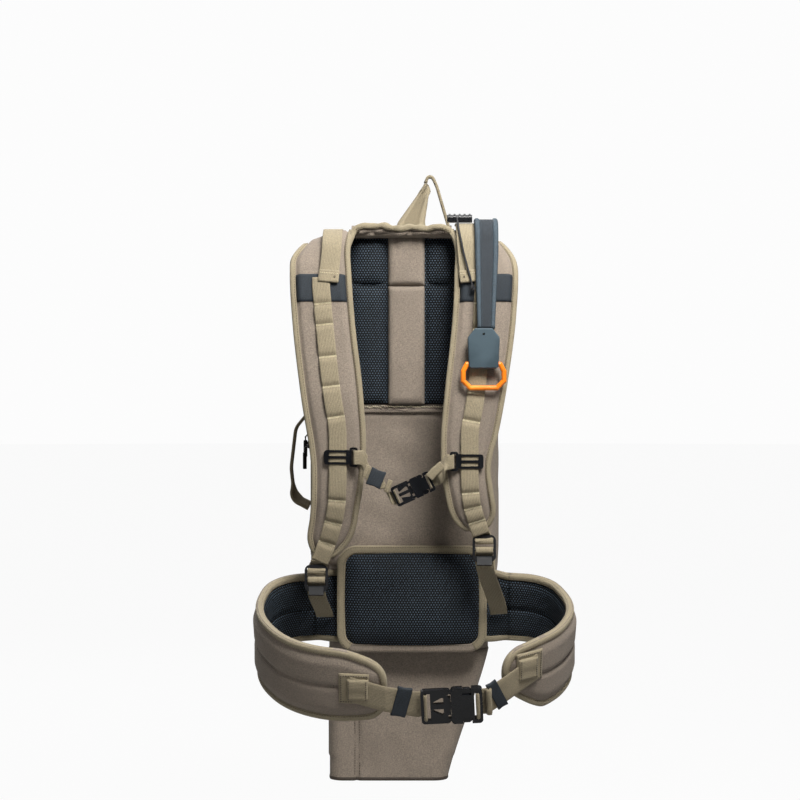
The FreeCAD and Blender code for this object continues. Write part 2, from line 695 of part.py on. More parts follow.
def buckle_male(b):
    end = -b.length / 2
    base_depth = b.thickness - 2 * b.skin - 2 * SLIDE_GAP
    frame = buckle_plate(b, end, b.mouth - SOFT_GAP, b.height / 2, base_depth)
    frame = frame.cut(web_slot(b, end + b.bar, end + b.bar + b.slot))
    waist = end + b.male_frame
    depth = b.height / 2 - b.wall
    window = [(waist - 8.0, -depth * 0.30), (waist + 6.0, -depth * 0.62), (waist + 6.0, depth * 0.62),
              (waist - 8.0, depth * 0.30)]
    mid_hole = rounded_face(window, [2.0] * 4, in_front_view(-REACH)).extrude(FORWARD * (-2 * REACH))
    frame = frame.cut(mid_hole)
    bridge = block((waist - 9.0, -base_depth / 2, -b.prong / 2), (b.mouth, base_depth / 2, b.prong / 2))
    tip = b.reach - 6.0
    half = b.prong / 2
    prong_outline = [(b.mouth - 2.0, -half), (tip - half, -half), (tip, -half * 0.4), (tip, half * 0.4),
                     (tip - half, half), (b.mouth - 2.0, half)]
    prong = rounded_face(prong_outline, [0] * 6, in_front_view(-base_depth / 2))
    solids = [frame, bridge, prong.extrude(FORWARD * -base_depth)]
    whole = fused(solids)
    for side in (-1, 1):
        pivot = arm_pivot(b, side)
        socket = rod(pivot + FORWARD * REACH, pivot - FORWARD * REACH, socket_radius(b))
        whole = whole.cut(socket)
        throat = b.arm / 2 + SLIDE_GAP
        swing = b.arm
        low = min(side * arm_line(b) - side * (throat + swing), side * arm_line(b) + side * throat)
        high = max(side * arm_line(b) - side * (throat + swing), side * arm_line(b) + side * throat)
        whole = whole.cut(block((pivot.x, -REACH, low), (REACH / 4, REACH, high)))
    return whole


def buckle_arm(b, side):
    """One spring arm: a round root in the male half, a curved beam and the tab that catches."""
    pivot = arm_pivot(b, side)
    depth = b.thickness - 2 * b.skin - 2 * SLIDE_GAP
    front = -depth / 2
    root = rod(FreeCAD.Vector(pivot.x, front, pivot.z), FreeCAD.Vector(pivot.x, -front, pivot.z), b.root)
    line = arm_line(b)
    half = b.arm / 2
    edge = b.height / 2
    outline = [(pivot.x, line - half), (b.catch + b.tab, line - half * 1.6), (b.reach, line - half * 0.2),
               (b.reach, line + half * 0.6), (b.catch + b.tab, edge - 0.2), (b.catch + 0.5, edge - 0.2),
               (b.catch + 0.5, line + half), (pivot.x, line + half * 0.8)]
    radii = [0, b.arm, 1.0, 1.0, b.arm, 0.4, 0, 0]
    if side < 0:
        outline = [(u, -v) for u, v in outline]
    beam = rounded_face(outline, radii, in_front_view(front)).extrude(FORWARD * (-depth))
    return fused([root, beam])


def buckle_female(b):
    end = b.length / 2
    body = buckle_plate(b, b.mouth, end, b.height / 2, b.thickness)
    cavity_half = b.height / 2 - b.wall
    cavity_depth = b.thickness / 2 - b.skin
    pocket_end = b.reach + 1.5
    body = body.cut(block((b.mouth - 1, -cavity_depth, -cavity_half),
                          (pocket_end, cavity_depth, cavity_half)))
    for side in (-1, 1):
        low = min(side * (cavity_half - b.arm * 1.4), side * b.height)
        high = max(side * (cavity_half - b.arm * 1.4), side * b.height)
        body = body.cut(block((b.catch, -REACH, low), (b.catch + b.tab + 3.0, REACH, high)))
    slot_end = end - b.bar
    body = body.cut(web_slot(b, max(slot_end - b.slot, pocket_end + 1.6), slot_end))
    return body


def placed(shape, centre, angle):
    moved = shape.copy()
    moved.rotate(FreeCAD.Vector(), FreeCAD.Vector(0, -1, 0), angle)
    moved.translate(FreeCAD.Vector(*centre))
    return moved


def bar_loop(b, side, web_thickness, tail):
    """Webbing wrapped round a buckle's end bar, open towards the side that it comes from."""
    centre = side * (b.length / 2 - b.bar / 2)
    reach_in = b.bar / 2 + SOFT_GAP + web_thickness / 2
    depth = b.thickness / 2 + SOFT_GAP + web_thickness / 2
    far = side * (b.length / 2 + tail)
    near = centre - side * reach_in
    corners = [(far, -depth), (near, -depth), (near, depth), (far, depth)]
    bend = web_thickness / 2 + 2 * SOFT_GAP
    if side > 0:
        corners = corners[::-1]
    strip = band(corners, [bend, bend], -web_thickness / 2, web_thickness / 2, in_plan(-b.web / 2),
                 UP * b.web)
    return strip


# ---- sternum strap ------------------------------------------------------------------------------
SLIDER_FACE = STRAP_PROFILE[3][0] - STRAP_FACE - LADDER_LIFT
CHEST_Y = SLIDER_FACE - WEB_THICKNESS - SLIDER_BAR - SLIDE_GAP - CHEST_BUCKLE.thickness / 2


def slider_x(side):
    return LADDER_LEFT[3][0] if side < 0 else LADDER_RIGHT[3][0]


def slider_z(side):
    return SLIDER_LEVEL_LEFT if side < 0 else SLIDER_LEVEL_RIGHT


def sternum_slider(side):
    """Runner that closes round the ladder webbing, with an eye for the chest webbing."""
    x = slider_x(side)
    z = slider_z(side)
    half_w = SLIDER_WIDTH / 2
    half_h = SLIDER_HEIGHT / 2
    rear = SLIDER_FACE + SLIDE_GAP + SLIDER_BAR
    front = SLIDER_FACE - WEB_THICKNESS - SLIDE_GAP - SLIDER_BAR
    body = round_plate(x - half_w, x + half_w, z - half_h, z + half_h, 4.0, front, rear)
    lane = LADDER_WIDTH / 2 + 2 * SLIDE_GAP
    body = body.cut(block((x - lane, front + SLIDER_BAR, z - REACH),
                          (x + lane, rear - SLIDER_BAR, z + REACH)))
    rim = 3.2
    rib = 1.8
    for low, high in ((z - half_h + rim, z - rib), (z + rib, z + half_h - rim)):
        body = body.cut(block((x - lane + 1.5, front - 1, low),
                              (x + lane - 1.5, front + SLIDER_BAR + 0.2, high)))
    body = body.cut(block((x - lane + 4.0, rear - SLIDER_BAR - 0.2, z - half_h + 5),
                          (x + lane - 4.0, rear + 1, z + half_h - 5)))
    inner = -side
    eye_out = x + inner * (half_w + EYE_REACH)
    eye_in = x + inner * (half_w - 2.5)
    half_eye = CHEST_BUCKLE.web / 2 + SLIDE_GAP + 3.0
    eye = round_plate(min(eye_in, eye_out), max(eye_in, eye_out), z - half_eye, z + half_eye, 3.0,
                      front, front + EYE_THICKNESS)
    hole_out = eye_out - inner * EYE_BAR
    hole_in = x + inner * (half_w + SLIDE_GAP)
    half_hole = CHEST_BUCKLE.web / 2 + SLIDE_GAP
    eye = eye.cut(block((min(hole_in, hole_out), -REACH, z - half_hole),
                        (max(hole_in, hole_out), REACH, z + half_hole)))
    return fused([body, eye])


def local_point(centre, angle, along, up=0.0):
    turn = math.radians(angle)
    return (centre[0] + along * math.cos(turn) - up * math.sin(turn),
            centre[1] + along * math.sin(turn) + up * math.cos(turn))


def eye_bar(side):
    return slider_x(side) - side * (SLIDER_WIDTH / 2 + EYE_REACH - EYE_BAR / 2)


def flat_strip(start, end, width, front, thickness):
    """A straight piece of webbing seen in front view, from one point to another."""
    run = flat(end) - flat(start)
    across = FreeCAD.Vector(-run.y, run.x, 0) * (width / 2 / run.Length)
    a, b = flat(start), flat(end)
    lift = in_front_view(front)
    corners = [lift(a - across), lift(b - across), lift(b + across), lift(a + across)]
    face = Part.Face(Part.makePolygon(corners + [corners[0]]))
    return face.extrude(FORWARD * -thickness)


CHEST_WEB_FRONT = CHEST_Y - CHEST_BUCKLE.thickness / 2 - SOFT_GAP - WEB_THICKNESS


def sternum_webbing(side):
    """Chest webbing: round the slider's eye bar, across in front, and round the buckle's bar."""
    b = CHEST_BUCKLE
    loop = placed(bar_loop(b, side, WEB_THICKNESS, 6.0), (CHEST_CENTRE[0], CHEST_Y, CHEST_CENTRE[1]),
                  CHEST_ANGLE)
    bar = eye_bar(side)
    z = slider_z(side)
    front = SLIDER_FACE - WEB_THICKNESS - SLIDE_GAP - SLIDER_BAR
    rear_y = front + EYE_THICKNESS + SOFT_GAP + WEB_THICKNESS / 2
    front_y = CHEST_WEB_FRONT + WEB_THICKNESS / 2
    hold = bar + side * (EYE_BAR / 2 + SOFT_GAP + WEB_THICKNESS / 2)
    away = bar - side * 9.0
    corners = [(away, rear_y), (hold, rear_y), (hold, front_y), (away, front_y)]
    if side > 0:
        corners = corners[::-1]
    eye = band(corners, [1.7, 1.7], -WEB_THICKNESS / 2, WEB_THICKNESS / 2,
               in_plan(z - b.web / 2), UP * b.web)
    end = local_point(CHEST_CENTRE, CHEST_ANGLE, side * (b.length / 2 + 3.0))
    start = (bar - side * 5.0, z)
    run = flat_strip(start, end, b.web, CHEST_WEB_FRONT, WEB_THICKNESS)
    return fused([loop, eye, run])


def sternum_keeper():
    """Elastic keeper that holds the spare chest webbing, halfway along the left run."""
    b = CHEST_BUCKLE
    start = flat((eye_bar(-1) + 5.0, slider_z(-1)))
    end = flat(local_point(CHEST_CENTRE, CHEST_ANGLE, -(b.length / 2 + 3.0)))
    run = unit(end - start)
    middle = start + (end - start) * 0.5
    a = middle - run * (KEEPER_LENGTH / 2)
    c = middle + run * (KEEPER_LENGTH / 2)
    outer = flat_strip(a, c, b.web + 2 * KEEPER_THICKNESS + 2 * SOFT_GAP,
                       CHEST_WEB_FRONT - SOFT_GAP - KEEPER_THICKNESS,
                       WEB_THICKNESS + 2 * SOFT_GAP + 2 * KEEPER_THICKNESS)
    inner = flat_strip(a - run * 5.0, c + run * 5.0, b.web + 2 * SOFT_GAP, CHEST_WEB_FRONT - SOFT_GAP,
                       WEB_THICKNESS + 2 * SOFT_GAP)
    return outer.cut(inner)


# ---- hip belt -----------------------------------------------------------------------------------
def tilted(shape):
    moved = shape.copy()
    moved.rotate(FreeCAD.Vector(0, BELT_AXIS_Y, BELT_LEVEL), ACROSS, BELT_TILT)
    return moved


def belt_face(corners, radii):
    """Everything in front view inside a rounded outline."""
    return rounded_face(corners, radii, in_front_view(-REACH)).extrude(FORWARD * (-2 * REACH))


def hip_wing(side, plan, radii, tip_top, tip_bottom):
    """One padded wing: an even wall round the waist, rounded off at its tip and cut square at its root."""
    half = WING_THICKNESS / 2
    low = BELT_LEVEL - WING_HEIGHT / 2
    high = BELT_LEVEL + WING_HEIGHT / 2
    wall = band(plan, radii, -half, half, in_plan(low), UP * WING_HEIGHT)
    root = CORE_LEFT - SOFT_GAP if side < 0 else CORE_RIGHT + SOFT_GAP
    inside = -side * REACH
    wall = wall.cut(block((min(root, inside), -half * 2, low), (max(root, inside), REACH, high)))
    tip = plan[-1][0]
    corners = [(tip, tip_bottom), (tip + side * TIP_TAPER, low), (side * REACH, low),
               (side * REACH, high), (tip + side * TIP_TAPER, high), (tip, tip_top)]
    outline = belt_face(corners, [TIP_ROUND, TAPER_ROUND, 0, 0, TAPER_ROUND, TIP_ROUND])
    front = block((-REACH, -REACH, low), (REACH, plan[2][1], high))
    return fused([wall.common(front).common(outline), wall.cut(front)])


def on_wing(plan, radii, layer_in, layer_out, left, right, low, high):
    """A piece that lies on the wing's outer face between two sides and two heights."""
    sheet = band(plan, radii, layer_in, layer_out, in_plan(low), UP * (high - low))
    return sheet.common(block((left, -REACH, low), (right, plan[2][1] / 2, high)))


LEFT_PATCH = (LEFT_PLAN[-1][0] - 20.0 - PATCH_LENGTH, LEFT_PLAN[-1][0] - 20.0)
RIGHT_PATCH = (RIGHT_PLAN[-1][0] + 12.0, RIGHT_PLAN[-1][0] + 12.0 + PATCH_LENGTH * 0.85)
LEFT_PATCH_LEVEL = -625.0
RIGHT_PATCH_LEVEL = -607.0
OUTER_FACE = WING_THICKNESS / 2 + SOFT_GAP


def hip_patches():
    half = PATCH_HEIGHT / 2
    left = on_wing(LEFT_PLAN, LEFT_PLAN_RADII, -OUTER_FACE - PATCH_THICKNESS, -OUTER_FACE,
                   LEFT_PATCH[0], LEFT_PATCH[1], LEFT_PATCH_LEVEL - half, LEFT_PATCH_LEVEL + half)
    right = on_wing(RIGHT_PLAN, RIGHT_PLAN_RADII, OUTER_FACE, OUTER_FACE + PATCH_THICKNESS,
                    RIGHT_PATCH[0], RIGHT_PATCH[1], RIGHT_PATCH_LEVEL - half, RIGHT_PATCH_LEVEL + half)
    return tilted(Part.makeCompound([left, right]))


def web_plan(side):
    """Plan of the hip webbing: along the wing's last run on top of the patch, then to the buckle."""
    plan = [flat(p) for p in (LEFT_PLAN if side < 0 else RIGHT_PLAN)]
    run = unit(plan[-1] - plan[-2])
    out = FreeCAD.Vector(-run.y, run.x, 0) * side
    stand = OUTER_FACE + PATCH_THICKNESS + SOFT_GAP + HIP_WEB_THICKNESS / 2
    back = plan[-1] - run * HIP_WEB_SEWN + out * stand
    tip = plan[-1] + run * 2.0 + out * stand
    end_x, end_z = local_point((HIP_BUCKLE_CENTRE[0], HIP_BUCKLE_CENTRE[2]), HIP_BUCKLE_ANGLE,
                               side * (HIP_BUCKLE.length / 2 + HIP_WEB_TAIL - 2.0))
    front_y = HIP_BUCKLE_CENTRE[1] - HIP_BUCKLE.thickness / 2 - SOFT_GAP - HIP_WEB_THICKNESS / 2
    level = LEFT_PATCH_LEVEL if side < 0 else RIGHT_PATCH_LEVEL
    return [back, tip, FreeCAD.Vector(end_x, front_y, 0)], (back.x, level), (end_x, end_z)


def hip_webbing(side):
    plan, start, end = web_plan(side)
    half = HIP_WEB_THICKNESS / 2
    sheet = band(plan, [HIP_WEB_BEND], -half, half, in_plan(-2 * REACH), UP * (2 * REACH))
    strip = sheet.common(flat_strip(start, end, HIP_BUCKLE.web, -REACH, 2 * REACH))
    loop = bar_loop(HIP_BUCKLE, side, HIP_WEB_THICKNESS, HIP_WEB_TAIL)
    return tilted(fused([strip, placed(loop, HIP_BUCKLE_CENTRE, HIP_BUCKLE_ANGLE)]))


def layer_on_web(plan, start, end, gap, height, middle, length):
    """Everything within a gap of the free webbing, over a length along its run."""
    run = unit(plan[2] - plan[1])
    a = middle - run * length
    c = middle + run * length
    rise = (end[1] - start[1]) / (end[0] - start[0])
    low = (a.x, start[1] + rise * (a.x - start[0]))
    high = (c.x, start[1] + rise * (c.x - start[0]))
    layer = band([a, c], [], -gap, gap, in_plan(-2 * REACH), UP * (2 * REACH))
    half = abs(run.x) * length / 2
    slice_x = block((middle.x - half, -REACH, -2 * REACH), (middle.x + half, REACH, 0))
    return layer.common(flat_strip(low, high, height, -REACH, 2 * REACH)).common(slice_x)


def hip_keeper(side):
    plan, start, end = web_plan(side)
    gap = HIP_WEB_THICKNESS / 2 + SOFT_GAP
    height = HIP_BUCKLE.web + 2 * SOFT_GAP
    free = plan[2] - plan[1]
    length = min(HIP_KEEPER_LENGTH, free.Length * HIP_KEEPER_PART)
    middle = plan[1] + free * HIP_KEEPER_SHARE
    inner = layer_on_web(plan, start, end, gap, height, middle, length * 2)
    outer = layer_on_web(plan, start, end, gap + KEEPER_THICKNESS, height + 2 * KEEPER_THICKNESS,
                         middle, length)
    return outer.cut(inner)


def hip_keepers():
    return tilted(Part.makeCompound([hip_keeper(-1), hip_keeper(1)]))


def hip_part(shape):
    return tilted(placed(shape, HIP_BUCKLE_CENTRE, HIP_BUCKLE_ANGLE))


def chest_part(shape):
    return placed(shape, (CHEST_CENTRE[0], CHEST_Y, CHEST_CENTRE[1]), CHEST_ANGLE)


# ---- haul loop ----------------------------------------------------------------------------------
def rectangle(centre_x, centre_y, z, size_x, size_y):
    half_x = size_x / 2
    half_y = size_y / 2
    return [FreeCAD.Vector(centre_x + sx * half_x, centre_y + sy * half_y, z)
            for sx, sy in ((-1, -1), (1, -1), (1, 1), (-1, 1))]


def haul_loop():
    """Webbing that is sewn flat at its left foot, folded double at the hook and on edge at its right."""
    x0, x1 = LOOP_FOOT_LEFT
    half = (LOOP_GRIP + LOOP_THICKNESS) / 2
    shoulder = -LOOP_GRIP - LOOP_THICKNESS
    left_top = rectangle(HOOK.x - half, HOOK.y, shoulder, LOOP_THICKNESS, LOOP_FOLDED)
    right_top = rectangle(HOOK.x + half, HOOK.y, shoulder, LOOP_THICKNESS, LOOP_FOLDED)
    rise = LOOP_FOOT_LEVEL + LOOP_FOOT_RISE
    foot = block((x0, HOOK.y - LOOP_THICKNESS / 2, LOOP_FOOT_LEVEL),
                 (x1, HOOK.y + LOOP_THICKNESS / 2, rise))
    left = frustum(rectangle((x0 + x1) / 2, HOOK.y, rise, x1 - x0, LOOP_THICKNESS), left_top)
    right_foot = rectangle(LOOP_FOOT_RIGHT, HOOK.y, rise + LOOP_FOOT_CLEAR, LOOP_THICKNESS, LOOP_FOLDED)
    right = frustum(right_foot, right_top)
    crown = LOOP_THICKNESS / 2
    path = [(HOOK.x - half, shoulder), (HOOK.x - half, crown), (HOOK.x + half, crown),
            (HOOK.x + half, shoulder)]
    arch = band(path, [half * NEARLY] * 2, -LOOP_THICKNESS / 2, LOOP_THICKNESS / 2,
                in_front_view(HOOK.y - LOOP_FOLDED / 2), FORWARD * -LOOP_FOLDED)
    return fused([foot, left, arch, right])


# ---- quick-pull retainer ------------------------------------------------------------------------
def hook_sleeve():
    """Padded sleeve that lies over the right shoulder and hangs straight down to the moulded end."""
    lift = STRAP_FACE + LADDER_LIFT + 2 * (WEB_THICKNESS + SOFT_GAP) + SOFT_GAP
    half = HOOK_SLEEVE_THICKNESS / 2
    moved, radii = offset_path([flat(p) for p in STRAP_PROFILE], STRAP_RADII, -lift - half)
    profile = [moved[0], moved[1], (HOUSING_Y, HOOK_SLEEVE_END)]
    layer = band(profile, radii[:1], -half, half, in_side_view(-REACH), ACROSS * (2 * REACH))
    middle = -120.0
    foot = HOOK_SLEEVE_END - 20
    left = [(HOOK_SLEEVE_TOP[0], 0.0), (HOOK_SLEEVE_TOP[0] + 1, middle), (HOOK_SLEEVE_FOOT[0], foot)]
    right = [(HOOK_SLEEVE_TOP[1], 0.0), (HOOK_SLEEVE_TOP[1] - 2, middle), (HOOK_SLEEVE_FOOT[1], foot)]
    hanging = layer.common(front_prism(left, right))
    return hanging.common(block((-REACH, -REACH, HOUSING_TOP + SOFT_GAP),
                                (REACH, HOOK_SLEEVE_REAR, REACH)))


RING_AXIS_Z = HOUSING_BOTTOM + RING_BAR + HOUSING_WALL


def hook_housing():
    """Moulded end with sloped shoulders, a pocket for the magnet and an eye along its foot."""
    half = HOUSING_WIDTH / 2
    neck = HOUSING_NECK / 2
    foot = HOUSING_FOOT / 2
    c = HOUSING_CENTRE
    corners = [(c - foot, HOUSING_BOTTOM), (c + foot, HOUSING_BOTTOM), (c + half, HOUSING_TOP - 13),
               (c + neck, HOUSING_TOP), (c - neck, HOUSING_TOP), (c - half, HOUSING_TOP - 13)]
    front = HOUSING_Y - HOUSING_THICKNESS / 2
    outline = rounded_face(corners, [4, 4, 6, 3, 3, 6], in_front_view(front))
    body = outline.extrude(FORWARD * -HOUSING_THICKNESS)
    rim = [e for e in body.Edges if e.BoundBox.YMax < front + 0.01]
    body = body.makeChamfer(HOUSING_BEVEL, rim)
    pocket = magnet_block(SOFT_GAP)
    axis = FreeCAD.Vector(c, HOUSING_Y, RING_AXIS_Z)
    eye = rod(axis - ACROSS * HOUSING_WIDTH, axis + ACROSS * HOUSING_WIDTH, RING_BAR + RUNNING_GAP)
    hole = FreeCAD.Vector(c, HOUSING_Y, HOUSING_TOP - LANYARD_HOLE_DROP)
    lanyard = rod(hole + FORWARD * HOUSING_WIDTH, hole - FORWARD * HOUSING_WIDTH, LANYARD_HOLE)
    return body.cut(pocket).cut(eye).cut(lanyard)


def magnet_block(extra):
    c = HOUSING_CENTRE
    half_width = MAGNET_WIDTH / 2 + extra
    half_depth = MAGNET_THICKNESS / 2 + extra
    return round_plate(c - half_width, c + half_width, HOUSING_BOTTOM + MAGNET_RISE - extra,
                       HOUSING_TOP - MAGNET_DROP + extra, 3.0, HOUSING_Y - half_depth,
                       HOUSING_Y + half_depth)


def pull_ring():
    """Eight-sided ring of round bar; its top side turns in the housing's eye."""
    c = HOUSING_CENTRE
    half_w = RING_WIDTH / 2 - RING_BAR
    top = RING_AXIS_Z
    bottom = top - RING_HEIGHT + 2 * RING_BAR
    cut_x = HOUSING_FOOT / 2 + RING_END_PLAY
    cut_z = (RING_HEIGHT - 2 * RING_BAR) * 0.30
    low_x = cut_x * 0.8
    corners = [(-cut_x, top), (cut_x, top), (half_w, top - cut_z), (half_w, bottom + cut_z),
               (low_x, bottom), (-low_x, bottom), (-half_w, bottom + cut_z), (-half_w, top - cut_z)]
    points = [FreeCAD.Vector(c + x, HOUSING_Y, z) for x, z in corners]
    start = FreeCAD.Vector(c, HOUSING_Y, top)
    path = Part.makePolygon([start] + points[1:] + points[:1] + [start])
    circle = Part.Wire(Part.makeCircle(RING_BAR, start, ACROSS))
    return path.makePipeShell([circle], True, False, MITRED)


def guide_slice(x, width, radius, level, axis):
    """A slice of the guide: an arch that stands on straight cheeks."""
    y = GUIDE_CENTRE[1]
    crown = FreeCAD.Vector(x, y, axis + radius)
    left = FreeCAD.Vector(x, y - radius, axis)
    right = FreeCAD.Vector(x, y + radius, axis)
    feet = [FreeCAD.Vector(x, y + radius, level), FreeCAD.Vector(x, y - radius, level)]
    edges = [Part.Arc(left, crown, right).toShape()]
    for a, b in ((right, feet[0]), (feet[0], feet[1]), (feet[1], left)):
        edges.append(Part.LineSegment(a, b).toShape())
    return Part.Face(Part.Wire(edges)).extrude(ACROSS * width)


def cord_guide():
    """Ribbed guide on top of the right shoulder, on a flat foot."""
    x, y = GUIDE_CENTRE
    level = STRAP_TOP_LEVEL + STRAP_FACE + LADDER_LIFT + 2 * WEB_THICKNESS + 2 * SOFT_GAP
    axis = level + GUIDE_RADIUS + GUIDE_FOOT / 2
    start = x - GUIDE_LENGTH / 2
    half_foot = GUIDE_RADIUS + GUIDE_RIB
    foot = block((start, y - half_foot, level), (start + GUIDE_LENGTH, y + half_foot, level + GUIDE_FOOT))
    pieces = [guide_slice(start, GUIDE_LENGTH, GUIDE_RADIUS, level, axis), foot]
    pitch = GUIDE_LENGTH / GUIDE_RIBS
    for index in range(GUIDE_RIBS):
        rib_start = start + (index + 0.5) * pitch - GUIDE_RIB
        pieces.append(guide_slice(rib_start, 2 * GUIDE_RIB, GUIDE_RADIUS + GUIDE_RIB, level, axis))
    return fused(pieces)


def cord_path(points):
    """Straight runs and the largest tangent arcs that the runs allow; also lists the radii."""
    vectors = [FreeCAD.Vector(*p) for p in points]
    edges = []
    radii = []
    here = vectors[0]
    for before, corner, after in zip(vectors, vectors[1:], vectors[2:]):
        come = unit(corner - before)
        leave = unit(after - corner)
        half_turn = come.getAngle(leave) / 2
        shorter = min((corner - before).Length, (after - corner).Length)
        reach = 0.45 * shorter
        radius = reach / math.tan(half_turn)
        start = corner - come * reach
        end = corner + leave * reach
        middle = corner + unit(leave - come) * (radius / math.cos(half_turn) - radius)
        edges.append(Part.LineSegment(here, start).toShape())
        edges.append(Part.Arc(start, middle, end).toShape())
        radii.append(round(radius, 1))
        here = end
    edges.append(Part.LineSegment(here, vectors[-1]).toShape())
    return Part.Wire(edges), radii


def retention_cord():
    path, radii = cord_path(CORD_ROUTE)
    start = FreeCAD.Vector(*CORD_ROUTE[0])
    direction = FreeCAD.Vector(*CORD_ROUTE[1]) - start
    circle = Part.Wire(Part.makeCircle(CORD_DIAMETER / 2, start, direction))
    tube = path.makePipeShell([circle], True, False)
    section = math.pi * CORD_DIAMETER ** 2 / 4
    print("cord radii", radii, "volume ratio", round(tube.Volume / (section * path.Length), 4))
    return tube


# ---- zips and handle ------------------------------------------------------------------------------
def side_zips():
    """Two zips side by side, one for each compartment."""
    face = BAG_LEFT - SOFT_GAP
    half = ZIP_WIDTH / 2
    rows = []
    for y in ZIP_ROWS.values():
        rows.append(block((face - ZIP_THICKNESS, y - half, ZIP_BOTTOM), (face, y + half, ZIP_TOP)))
    return Part.makeCompound(rows)


ZIP_FACE = BAG_LEFT - SOFT_GAP - ZIP_THICKNESS - SOFT_GAP


def pull_axis(row):
    return FreeCAD.Vector(ZIP_FACE - SLIDER_BODY[0] + PULL_INSET, ZIP_ROWS[row], ZIP_SLIDERS[row])


def zip_slider(row):
    """Slider body with the eye that holds the pull's loop."""
    deep, wide, tall = SLIDER_BODY
    axis = pull_axis(row)
    body = block((ZIP_FACE - deep, axis.y - wide / 2, axis.z - tall / 2),
                 (ZIP_FACE, axis.y + wide / 2, axis.z + tall / 2))
    rim = [e for e in body.Edges if e.BoundBox.XMax < ZIP_FACE - deep + 0.01]
    body = body.makeFillet(1.2, rim)
    return body.cut(rod(axis + FORWARD * wide, axis - FORWARD * wide, BAIL_RADIUS + RUNNING_GAP))


def zip_pull(row):
    """Wire bail through the slider's eye, and the moulded grip that hangs from it."""
    pivot = pull_axis(row)
    side = FORWARD * (SLIDER_BODY[1] / 2 + SLIDE_GAP + BAIL_RADIUS)
    hang = FreeCAD.Vector(-PULL_STAND, 0, -PULL_NECK / 2)
    neck = pivot + FreeCAD.Vector(-PULL_STAND, 0, -PULL_NECK)
    corners = [pivot, pivot + side, pivot + side + hang, neck, pivot - side + hang, pivot - side, pivot]
    circle = Part.Wire(Part.makeCircle(BAIL_RADIUS, pivot, side))
    bail = Part.makePolygon(corners).makePipeShell([circle], True, False, MITRED)
    foot = neck + UP * (2 * BAIL_RADIUS - PULL_LENGTH)
    grip = Part.makeCylinder(PULL_RADIUS, PULL_LENGTH, foot, UP)
    grip = grip.makeChamfer(BAIL_RADIUS, [e for e in grip.Edges if e.Closed])
    return fused([bail, grip])


def side_handle():
    return band(HANDLE_PROFILE, HANDLE_RADII, -HANDLE_THICKNESS / 2, HANDLE_THICKNESS / 2,
                in_front_view(HANDLE_Y[0]), FORWARD * -(HANDLE_Y[1] - HANDLE_Y[0]))


# ---- all nodes ------------------------------------------------------------------------------------
def ladder_with_loop(centre, tacks, foot, place):
    return fused([ladder_webbing(centre, tacks, foot), strap_end_loop(place, foot + 3.0)])


def sewn_ladder(side):
    if side < 0:
        return ladder_with_loop(LADDER_LEFT, LEFT_TACKS, LADDER_LEFT_FOOT, ADJUSTER_LEFT)
    return ladder_with_loop(LADDER_RIGHT, RIGHT_TACKS, LADDER_RIGHT_FOOT, ADJUSTER_RIGHT)


def belt_wing(side):
    if side < 0:
        return tilted(hip_wing(side, LEFT_PLAN, LEFT_PLAN_RADII, LEFT_TIP_TOP, LEFT_TIP_BOTTOM))
    return tilted(hip_wing(side, RIGHT_PLAN, RIGHT_PLAN_RADII, RIGHT_TIP_TOP, RIGHT_TIP_BOTTOM))


